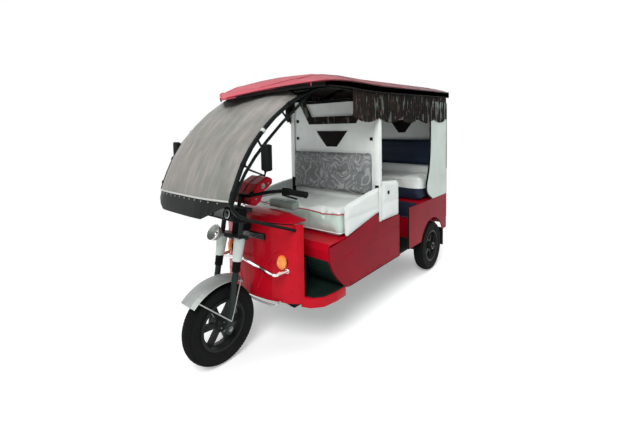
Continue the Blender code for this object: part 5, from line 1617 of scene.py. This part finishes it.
@dataclass
class BulkheadDress:
    """Dark swag band, inlays, buckles, piping and pillar wraps of the panel behind the driver."""

    face: float = 0.006

    def build(self) -> None:
        """Dress both faces of the bulkhead and wrap its pillars."""
        swag = [(0.372, 1.672), (0.252, 1.470), (-0.252, 1.470), (-0.372, 1.672)]
        window = [(0.276, 1.646), (0.211, 1.538), (-0.211, 1.538), (-0.276, 1.646)]
        notch = [(0.166, 1.4125), (-0.166, 1.4125), (-0.0545, 1.275), (0.0545, 1.275)]
        for sign, label in ((1, "front"), (-1, "back")):
            x = sign * self.face
            span = (x + sign * 0.0001, x + sign * 0.0042)
            slab_of(f"swag_band_{label}", strip(swag, -0.066), 0, span, FRILL, 0.0012)
            slab_of(
                f"swag_tip_{label}", [(0.375, 1.674), (-0.375, 1.674), (-0.375, 1.648), (0.375, 1.648)], 0,
                (span[0], span[1] - sign * 0.0006), DARK_CLOTH, 0.0012,
            )
            tube([(x + sign * 0.0035, y, z) for y, z in window], 0.0030, f"window_piping_{label}", WHITE, 2)
            slab_of(f"inlay_{label}", notch, 0, (x - sign * 0.0038, x + sign * 0.0016), DARK_CLOTH, 0.0012)
            rim = [(y * 1.035, z) for y, z in notch] + [(notch[0][0] * 1.035, notch[0][1])]
            tube([(x + sign * 0.0006, y, z) for y, z in rim], 0.0030, f"inlay_piping_{label}", WHITE, 2)
            row = [(x + sign * 0.0003, y, z) for y, z in mirrored(-0.41, 1.655, 1.28)]
            stitches(f"panel_stitches_{label}", row, (sign, 0, 0), CURTAIN)
            low, high = sorted((x + sign * 0.0002, x + sign * 0.0050))
            buckles = ((-0.392, 1.500), (-0.392, 1.345), (0.392, 1.500), (0.392, 1.345))
            corners = [((low, y - 0.013, z - 0.013), (high, y + 0.013, z + 0.013)) for y, z in buckles]
            blocks(f"strap_buckles_{label}", corners, BLACK, 0.0015)
        wrap = [(-0.0192, 0.4235), (0.0208, 0.4235), (0.0208, 0.4705), (-0.0192, 0.4705)]
        slab_of("pillar_wraps", wrap, 2, (0.985, 1.580), WHITE, 0.005, True)
        facing_strip = [(-0.0185, 0.4630), (0.0205, 0.4630), (0.0205, 0.4700), (-0.0185, 0.4700)]
        slab_of("pillar_facings", facing_strip, 2, (0.705, 0.984), WHITE, 0.001, True)
        for side, label in SIDES:
            seam = [(0.0, side * 0.4708, 1.036), (0.0, side * 0.4708, 1.574)]
            tube(seam, 0.0028, f"pillar_piping_{label}", WHITE, 2)
            low, high = sorted((side * 0.4752, side * 0.4805))
            blocks(f"pad_buckle_{label}", [((-0.120, low, 0.905), (-0.094, high, 0.931))], BLACK, 0.0015)


# Rear body, roof and windscreen


@dataclass
class RearBody:
    """Bindings, stitches, window film, reflectors, hinges, bezels and flaps of the rear body, with a dark apron as
    painted shade under the bench.
    """

    tail: float = -1.387

    def hood_trim(self) -> None:
        """Bind the hood's front edges and frame its window."""
        curve = [
            (-0.995, 0.722), (-0.885, 0.790), (-0.865, 0.870), (-0.925, 1.030), (-0.955, 1.250), (-0.960, 1.600),
            (-0.973, 1.680),
        ]
        for side, label in SIDES:
            path = [(x, side * 0.469, z) for x, z in curve]
            tube(smooth_path(path, 5), 0.0085, f"hood_binding_{label}", DARK_CLOTH)
            row = [(x - 0.020, side * 0.4765, z) for x, z in curve[1:-1]]
            stitches(f"hood_stitches_{label}", row, (0, side, 0), WHITE)
            corner = [(-1.381, side * 0.469, 0.985), (-1.381, side * 0.469, 1.680)]
            tube(corner, 0.0080, f"hood_corner_{label}", DARK_CLOTH)
        line = [(self.tail + 0.0015, y, z) for y, z in mirrored(0.282, 1.218, 1.522)]
        tube(line, 0.0070, "window_binding", DARK_CLOTH, 2, True)
        slab_of("window_film", mirrored(0.284, 1.216, 1.524), 0, (-1.3822, -1.3808), FILM, 0.0)
        row = [(self.tail - 0.0006, y, z) for y, z in [*mirrored(0.300, 1.200, 1.540), (0.300, 1.200)]]
        stitches("window_stitches", row, (-1, 0, 0), WHITE)

    def tail_board(self) -> None:
        """Fit reflectors, hinges, handle and lamp bezels to the tail."""
        x = self.tail
        lights = [((x - 0.006, y - 0.030, 0.560), (x - 0.0005, y + 0.030, 0.585)) for y in (-0.36, 0.36)]
        blocks("rear_reflectors", lights, RED_LENS, 0.002)
        hinges = [((x - 0.0050, y - 0.024, 0.9550), (x + 0.001, y + 0.024, 0.9790)) for y in (-0.28, 0.0, 0.28)]
        blocks("tail_hinges", hinges, STEEL, 0.0015)
        bead = [(x + 0.002, y, 0.930) for y in (-0.440, 0.440)]
        tube(bead, 0.006, "tail_swage", RED, 2)
        handle = [
            (x - 0.001, -0.06, 0.835), (x - 0.0065, -0.052, 0.835), (x - 0.0065, 0.052, 0.835),
            (x - 0.001, 0.06, 0.835),
        ]
        tube(handle, 0.0042, "tail_handle", CHROME, 2)
        for side, label in SIDES:
            y0, y1 = sorted((side * 0.3575, side * 0.4525))
            line = [
                (x - 0.0035, y0, 0.6575), (x - 0.0035, y0, 0.7825), (x - 0.0035, y1, 0.7825),
                (x - 0.0035, y1, 0.6575),
            ]
            tube(line, 0.0034, f"tail_lamp_bezel_{label}", CHROME, 2, True)
        flaps = [sorted((side * 0.372, side * 0.460)) for side in (1, -1)]
        blocks("mud_flaps", [((-1.330, y0, 0.165), (-1.3255, y1, 0.352)) for y0, y1 in flaps], TYRE, 0.0015)
        ends = [(-1.3955 + 0.0004, y, 0.4247) for y in (-0.40, -0.20, 0.20, 0.40)]
        heads("bumper_bolts", ends, (-1, 0, 0), 0.0072, STEEL, 6)

    def panel_dress(self) -> None:
        """A dark navy apron under the rear bench as painted shade of the recess there, and inlay and piping of the
        panel behind it.
        """
        # the apron is a dark sheet laid where the recess under the rear bench lies in shade: painted shade
        slab_of("rear_painted_shade_apron", mirrored(0.430, 0.560, 0.716), 0, (-0.7347, -0.7312), NAVY, 0.0012)
        stitches("apron_stitches", [(-0.7311, y, 0.568) for y in (-0.42, 0.42)], (1, 0, 0), CURTAIN)
        notch = [(0.1465, 1.5175), (-0.1465, 1.5175), (-0.0395, 1.3725), (0.0395, 1.3725)]
        slab_of("rear_inlay", notch, 0, (-1.2938, -1.2882), DARK_CLOTH, 0.0012)
        rim = [(-1.2892, y * 1.03, z) for y, z in notch]
        tube(rim, 0.0030, "rear_inlay_piping", WHITE, 2, True)
        row = [(-1.2897, y, z) for y, z in mirrored(-0.40, 1.655, 1.33)]
        stitches("rear_panel_stitches", row, (1, 0, 0), CURTAIN)

    def build(self) -> None:
        """Dress the rear body."""
        self.hood_trim()
        self.tail_board()
        self.panel_dress()


@dataclass
class Roof:
    """Edge bindings, welts and the gathered cloth edgings."""

    folds: int = 42
    swags: int = 5
    entry_front_x: float = 0.378
    far_front_x: float = 0.078
    rear_x: float = -1.358
    cloth_y: float = 0.4768
    lip_drop: float = 0.0158
    hem_z: float = 1.502
    sag: float = 0.012
    flat_drop: float = 0.240
    columns: int = 400
    rows: int = 9
    seams: tuple[float, ...] = (-1.05, -0.70, -0.35, 0.0, 0.35)
    grid_lines: tuple[float, ...] = (0.0, 0.36, 0.68, 0.88, 1.0)
    stations: int = 16

    def bindings(self) -> None:
        """Bind the lip all round and sew welts across and along the skin."""
        stations = [ROOF_REAR + (VISOR_TIP_X - ROOF_REAR) * index / 48 for index in range(49)]
        for side, label in SIDES:
            lip = []
            for x in stations:
                share = min(1.0, visor_share(x))
                lip.append((x, side * (roof_half_width(x) - 0.003), roof_edge(x) - 0.050 + 0.034 * share))
            tube(lip, 0.0052, f"roof_binding_{label}", DARK_CLOTH, 2)
            upper = [(x, side * (roof_half_width(x) - 0.0005), roof_edge(x) + 0.0005) for x in stations]
            tube(upper, 0.0042, f"roof_piping_{label}", ROOF_RED, 2)
            along = [(x, side * 0.62 * roof_half_width(x), self.skin(x, 0.62) + 0.0002) for x in stations[1:-3]]
            tube(along, 0.0034, f"roof_welt_{label}", ROOF_RED, 2)
            band = bmesh.new()
            bmesh.ops.create_grid(band, x_segments=48, y_segments=1, size=0.5)
            for vert in band.verts:
                x = ROOF_REAR + (VISOR_TIP_X - 0.03 - ROOF_REAR) * (vert.co.x + 0.5)
                drop = 0.006 if vert.co.y > 0 else 0.049 - 0.034 * min(1.0, visor_share(x))
                vert.co = Vector((x, side * (roof_half_width(x) + 0.0006), roof_edge(x) - drop))
            bmesh.ops.solidify(band, geom=list(band.faces), thickness=0.0012 * side)
            enter(band, f"roof_lip_band_{label}", DARK_CLOTH)
        shares = [index / 24 * 2 - 1 for index in range(25)]
        for number, x in enumerate(self.seams):
            row = [(x, share * ROOF_HALF * 0.995, self.skin(x, share) + 0.0002) for share in shares]
            tube(row, 0.0030, f"roof_seam_{number + 1}", ROOF_RED, 2)
        rear = [(ROOF_REAR + 0.002, share * 0.490, self.skin(ROOF_REAR, share) - 0.012) for share in shares]
        tube(rear, 0.0052, "roof_rear_binding", DARK_CLOTH, 2)

    def skin(self, x: float, side: float) -> float:
        """Height of the faceted roof's skin, between the lines of its grid."""
        step = (VISOR_TIP_X - ROOF_REAR) / self.stations
        first = min(self.stations - 1, int((x - ROOF_REAR) / step))
        sides = self.grid_lines
        index = max(number for number, line in enumerate(sides[:-1]) if line <= abs(side))
        across = (abs(side) - sides[index]) / (sides[index + 1] - sides[index])
        share = (x - ROOF_REAR) / step - first
        heights = []
        for number in (first, first + 1):
            at = ROOF_REAR + step * number
            heights.append(roof_top(at, sides[index]) * (1 - across) + roof_top(at, sides[index + 1]) * across)
        return heights[0] * (1 - share) + heights[1] * share

    def edging(self, side: int, label: str, end: float) -> None:
        """Hang one gathered cloth edging inside the roof's lip.

        Args:
            side: 1 on the left and -1 on the right.
            label: The side's name.
            end: How far forward it reaches.
        """
        bm = bmesh.new()
        bmesh.ops.create_grid(bm, x_segments=self.columns, y_segments=self.rows, size=0.5)
        for vert in bm.verts:
            u, down = vert.co.x + 0.5, 0.5 - vert.co.y
            along = self.rear_x + (end - self.rear_x) * u
            hook = self.skin(along, 0.97) - self.lip_drop
            bow = self.sag * ((along + 0.45) / 0.85) ** 2 - 0.034 * abs(math.sin(math.pi * self.swags * u))
            hem = hook - self.hem_z - bow + 0.005 * math.sin(2 * math.pi * self.folds * u)
            swing = 0.0022 + 0.0070 * max(0.0, down - 0.25)
            x = along + 0.004 * math.sin(4 * math.pi * self.folds * u) * down
            wave = math.sin(2 * math.pi * self.folds * u + 1.3 * math.sin(9 * u)) + 0.35 * math.sin(31 * u * 6)
            vert.co = Vector((x, side * (self.cloth_y + swing * wave), hook - hem * down))
        bmesh.ops.recalc_face_normals(bm, faces=bm.faces)
        area = sum(face.calc_area() for face in bm.faces)
        bmesh.ops.solidify(bm, geom=list(bm.faces), thickness=0.0012)
        piece = enter(bm, f"edging_{label}", FRILL, 60.0)
        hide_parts(f"valance_{label}")

    def build(self) -> None:
        """Dress the roof."""
        self.bindings()
        self.edging(1, "left", self.entry_front_x)
        self.edging(-1, "right", self.far_front_x)


@dataclass
class Screen:
    """Edge rubbers, seam bar, clips and rivets of the windscreen, and the mirrors' glass, rims and collars."""

    tube_y: float = 0.361
    half: float = 0.3497
    bulge: float = 0.078
    line: tuple[tuple[float, float], ...] = (
        (0.772, 1.632), (0.872, 1.580), (0.992, 1.500), (1.082, 1.423), (1.162, 1.337),
        (1.222, 1.250), (1.264, 1.165), (1.290, 1.105), (1.304, 1.066), (1.315, 0.965),
    )

    def way(self, index: int) -> Vector:
        """The outward way of the sheet's side at one of its points."""
        first = Vector(self.line[max(index - 1, 0)])
        last = Vector(self.line[min(index + 1, len(self.line) - 1)])
        run = last - first
        return Vector((-run.y, 0, run.x)).normalized()

    def across(self, index: int, out: float, lift: float = 0.0) -> list[Vector]:
        """Points over the bowed sheet at one of its levels.

        Args:
            index: The level.
            out: How far they stand off the sheet.
            lift: How far they lie over the level.

        Returns:
            The points, from the right to the left.
        """
        x, z = self.line[index]
        way = self.way(index)
        points = []
        for step in range(29):
            side = step / 14 - 1
            spot = Vector((x, side * (self.half - 0.002), z + lift))
            points.append(spot + way * (self.bulge * (1 - side ** 4) + out))
        return points

    def build(self) -> None:
        """Dress the windscreen and the mirrors."""
        seam = len(self.line) - 2
        tube(self.across(seam, 0.0004), 0.0052, "screen_seam_bar", SEAM, 2)
        tube(self.across(0, -0.0005), 0.0065, "screen_top_rubber", BLACK, 2)
        for side, label in SIDES:
            y = side * (self.half + 0.003)
            edge = [Vector((x, y, z)) + self.way(index) * 0.004 for index, (x, z) in enumerate(self.line[:-1])]
            tube(smooth_path(edge, 3), 0.0055, f"screen_side_rubber_{label}", BLACK, 2)
            for index, finish in ((1, BLACK), (3, SILVER), (5, BLACK), (7, BLACK)):
                x, z = self.line[index]
                bm = bmesh.new()
                profile = [(0.0115, -0.010), (0.0150, -0.010), (0.0150, 0.010), (0.0115, 0.010), (0.0115, -0.010)]
                run = self.way(index).cross(Vector((0, 1, 0)))
                turned(bm, profile, facing(run, (x, side * self.tube_y, z)), 24)
                enter(bm, f"screen_clip_{label}_{index}", finish.on(slot="silver"))
        rivets = self.across(seam, 0.0030, -0.014)[2:-2:2]
        bm = bmesh.new()
        for spot in rivets:
            turned(bm, [(0, -0.002), (0.0045, -0.002), (0.0040, 0.0008), (0, 0.0022)], facing(self.way(seam), spot), 10)
        enter(bm, "band_rivets", STEEL)
        for side, label in SIDES:
            y0, y1 = sorted((side * 0.4315, side * 0.4855))
            blocks(f"mirror_glass_{label}", [((1.1335, y0, 1.2215), (1.1352, y1, 1.3485))], CHROME, 0.0006, 1)
            rim = [(1.1348, y0, 1.2215), (1.1348, y0, 1.3485), (1.1348, y1, 1.3485), (1.1348, y1, 1.2215)]
            tube(rim, 0.0030, f"mirror_rim_{label}", BLACK, 2, True)
            collar = [(1.148, side * 0.455, 1.2255), (1.1485, side * 0.4535, 1.212)]
            tube(collar, 0.0105, f"mirror_collar_{label}", BLACK)


@dataclass
class RunningGear:
    """Spring clamps and plates, shackle bolts, and the motor's ribs and bolts."""

    spring_y: float = 0.280

    def build(self) -> None:
        """Dress the springs and the motor on the axle."""
        for side, label in SIDES:
            for number, shift in enumerate((-0.036, 0.036)):
                x, y, z = REAR_AXLE_X + shift, side * self.spring_y, TYRE_RADIUS + 0.010
                turns = [math.pi * step / 12 for step in range(13)]
                bow = [(x, y + 0.0275 * math.cos(turn), z + 0.0245 * math.sin(turn)) for turn in turns]
                path = [(x, y + 0.0275, TYRE_RADIUS - 0.062), *bow, (x, y - 0.0275, TYRE_RADIUS - 0.062)]
                tube(path, 0.0048, f"spring_clamp_{label}_{number + 1}", STEEL.on(slot="frame_enamel"), 2)
            x, y, z = REAR_AXLE_X, side * self.spring_y, TYRE_RADIUS
            plate = [((x - 0.050, y - 0.036, z - 0.064), (x + 0.050, y + 0.036, z - 0.0565))]
            blocks(f"spring_plate_{label}", plate, FRAME, 0.002)
            eyes = [(REAR_AXLE_X + shift, side * (self.spring_y + 0.0265), 0.268) for shift in (-0.2625, 0.2625)]
            heads(f"shackle_bolts_{label}", eyes, (0, side, 0), 0.0085, STEEL.on(slot="frame_enamel"), 6)
        bm = bmesh.new()
        centre = Matrix.Translation((REAR_AXLE_X, 0, TYRE_RADIUS)) @ Matrix.Rotation(math.pi / 2, 4, "Y")
        for index in range(7):
            start = 0.112 + index * 0.0135
            turned(
                bm,
                [(0.070, start), (0.0785, start), (0.0785, start + 0.005), (0.070, start + 0.005), (0.070, start)],
                centre, 40,
            )
        enter(bm, "motor_fins", CAST)
        turns = (0.4, 1.65, 2.9, 4.15, 5.4)
        rim = [(0.048 * math.cos(turn), TYRE_RADIUS + 0.048 * math.sin(turn)) for turn in turns]
        bolts = [(REAR_AXLE_X + 0.2252, y, z) for y, z in rim]
        heads("motor_bolts", bolts, (1, 0, 0), 0.0050, STEEL.on(slot="frame_enamel"), 6)


# Studio


@dataclass
class Studio:
    """Floor, light and the camera that the photograph was taken with."""

    camera_place: Point = (2.348, 1.823, 1.428)
    yaw: float = -2.442
    pitch: float = 0.056
    roll: float = -0.016
    focal_pixels: float = 348.34
    axis_row: float = 148.64
    image: tuple[int, int] = (637, 430)
    sensor: float = 36.0
    fade: tuple[float, float] = (1.5, 3.6)      # where the floor's shade starts and has gone, from the middle

    def camera(self) -> None:
        """Stand the camera where the photograph was taken from."""
        data = bpy.data.cameras.new("camera")
        data.sensor_width = self.sensor
        data.lens = self.sensor * self.focal_pixels / self.image[0]
        data.shift_y = (self.axis_row - self.image[1] / 2) / self.image[0]
        data.clip_start, data.clip_end = 0.05, 60.0
        ahead = Vector((
            math.cos(self.pitch) * math.cos(self.yaw), math.cos(self.pitch) * math.sin(self.yaw), -math.sin(self.pitch),
        ))
        right = ahead.cross(Vector((0, 0, 1))).normalized()
        up = right.cross(ahead)
        tilted = right * math.cos(self.roll) + up * math.sin(self.roll)
        upright = up * math.cos(self.roll) - right * math.sin(self.roll)
        turn = Matrix((tilted, upright, -ahead)).transposed().to_4x4()
        camera = bpy.data.objects.new("camera", data)
        camera.matrix_world = Matrix.Translation(Vector(self.camera_place)) @ turn
        bpy.context.scene.collection.objects.link(camera)
        bpy.context.scene.camera = camera

    def backdrop_tree(self, tree: Tree, lit: Socket, white: Socket) -> Socket:
        """Show a plain white to the camera, to gloss and through glass, and the lit shader elsewhere."""
        path = tree.add("LightPath")
        seen = tree.maths("MAXIMUM", path.outputs["Is Camera Ray"], path.outputs["Is Glossy Ray"])
        seen = tree.maths("MAXIMUM", seen, path.outputs["Is Transmission Ray"])
        return self.mixed(tree, seen, lit, white)

    def mixed(self, tree: Tree, *sockets: Socket) -> Socket:
        """Mix two shaders: the share's socket comes first, then theirs."""
        mix = tree.add("MixShader")
        for source, target in zip(sockets, mix.inputs):
            tree.join(source, target)
        return mix.outputs[0]

    def floor(self) -> None:
        """Lay a wide pale floor that keeps the vehicle's shadow."""
        bm = bmesh.new()
        bmesh.ops.create_grid(bm, x_segments=1, y_segments=1, size=30.0)
        mesh = bpy.data.meshes.new("floor")
        bm.to_mesh(mesh)
        bm.free()
        floor = bpy.data.objects.new("floor", mesh)
        bpy.context.scene.collection.objects.link(floor)
        paint = bpy.data.materials.new("pale floor")
        paint.use_nodes = True
        tree = Tree(paint.node_tree)
        shader = tree.set(
            paint.node_tree.nodes["Principled BSDF"], Base_Color=(0.90, 0.90, 0.90, 1.0), Roughness=0.9,
            Specular_IOR_Level=0.0,
        )
        glow, plain = tree.add("Emission", Strength=0.30), tree.add("Emission", Strength=1.0)
        both = tree.add("AddShader")
        tree.join(shader.outputs[0], both.inputs[0])
        tree.join(glow.outputs[0], both.inputs[1])
        length = tree.add("VectorMath", operation="LENGTH")
        tree.join(tree.place(), length.inputs[0])
        far = tree.spread(length.outputs["Value"], *self.fade)
        fade = self.mixed(tree, far, both.outputs[0], plain.outputs[0])
        end = paint.node_tree.nodes["Material Output"]
        tree.join(self.backdrop_tree(tree, shader.outputs[0], fade), end.inputs["Surface"])
        floor.data.materials.append(paint)

    def world(self) -> None:
        """Fill the room with even light in front of a white backdrop."""
        world = bpy.data.worlds.new("studio")
        world.use_nodes = True
        tree = Tree(world.node_tree)
        light = tree.set(world.node_tree.nodes["Background"], Color=(0.95, 0.98, 1.0, 1.0), Strength=0.40)
        white = tree.add("Background", Color=(1.0, 1.0, 1.0, 1.0), Strength=1.0)
        end = world.node_tree.nodes["World Output"]
        tree.join(self.backdrop_tree(tree, light.outputs[0], white.outputs[0]), end.inputs["Surface"])
        bpy.context.scene.world = world

    def lamps(self) -> None:
        """Hang large soft lamps over and beside the vehicle."""
        table = (                       # name, place, aim, size, power
            ("key lamp", (3.9, 2.0, 4.0), (0.1, 0.0, 0.7), 2.2, 205.0),
            ("fill lamp", (4.0, -2.6, 2.2), (0.4, 0.0, 0.8), 2.8, 30.0),
            ("back lamp", (-3.4, 1.2, 3.6), (-0.4, 0.0, 0.9), 2.6, 55.0),
            ("top lamp", (0.0, 0.0, 4.6), (0.0, 0.0, 0.0), 3.2, 80.0),
        )
        for name, place, aim, size, power in table:
            data = bpy.data.lights.new(name, "AREA")
            data.shape = "SQUARE"
            data.size = size
            data.energy = power
            lamp = bpy.data.objects.new(name, data)
            lamp.location = place
            lamp.rotation_euler = (Vector(aim) - Vector(place)).to_track_quat("-Z", "Y").to_euler()
            bpy.context.scene.collection.objects.link(lamp)

    def build(self) -> None:
        """Set the whole studio up."""
        self.camera()
        self.floor()
        self.world()
        self.lamps()
        bpy.context.scene.view_settings.view_transform = "Standard"


def main() -> None:
    """Build the studio, dress the frame and add every sub-assembly's pieces."""
    logging.basicConfig(level=logging.INFO)
    Studio().build()
    dress_frame()
    assemblies = (
        Wheels(), FrontFork(), Controls(), Nose(), CabFloor(), Sides(), BulkheadDress(), Seats(), RearBody(), Hood(),
        Roof(), Screen(), RunningGear(),
    )
    for assembly in assemblies:
        before = len(bpy.data.objects)
        assembly.build()
        LOG.info("%s: %d pieces", type(assembly).__name__, len(bpy.data.objects) - before)


if __name__ == "__main__":
    main()
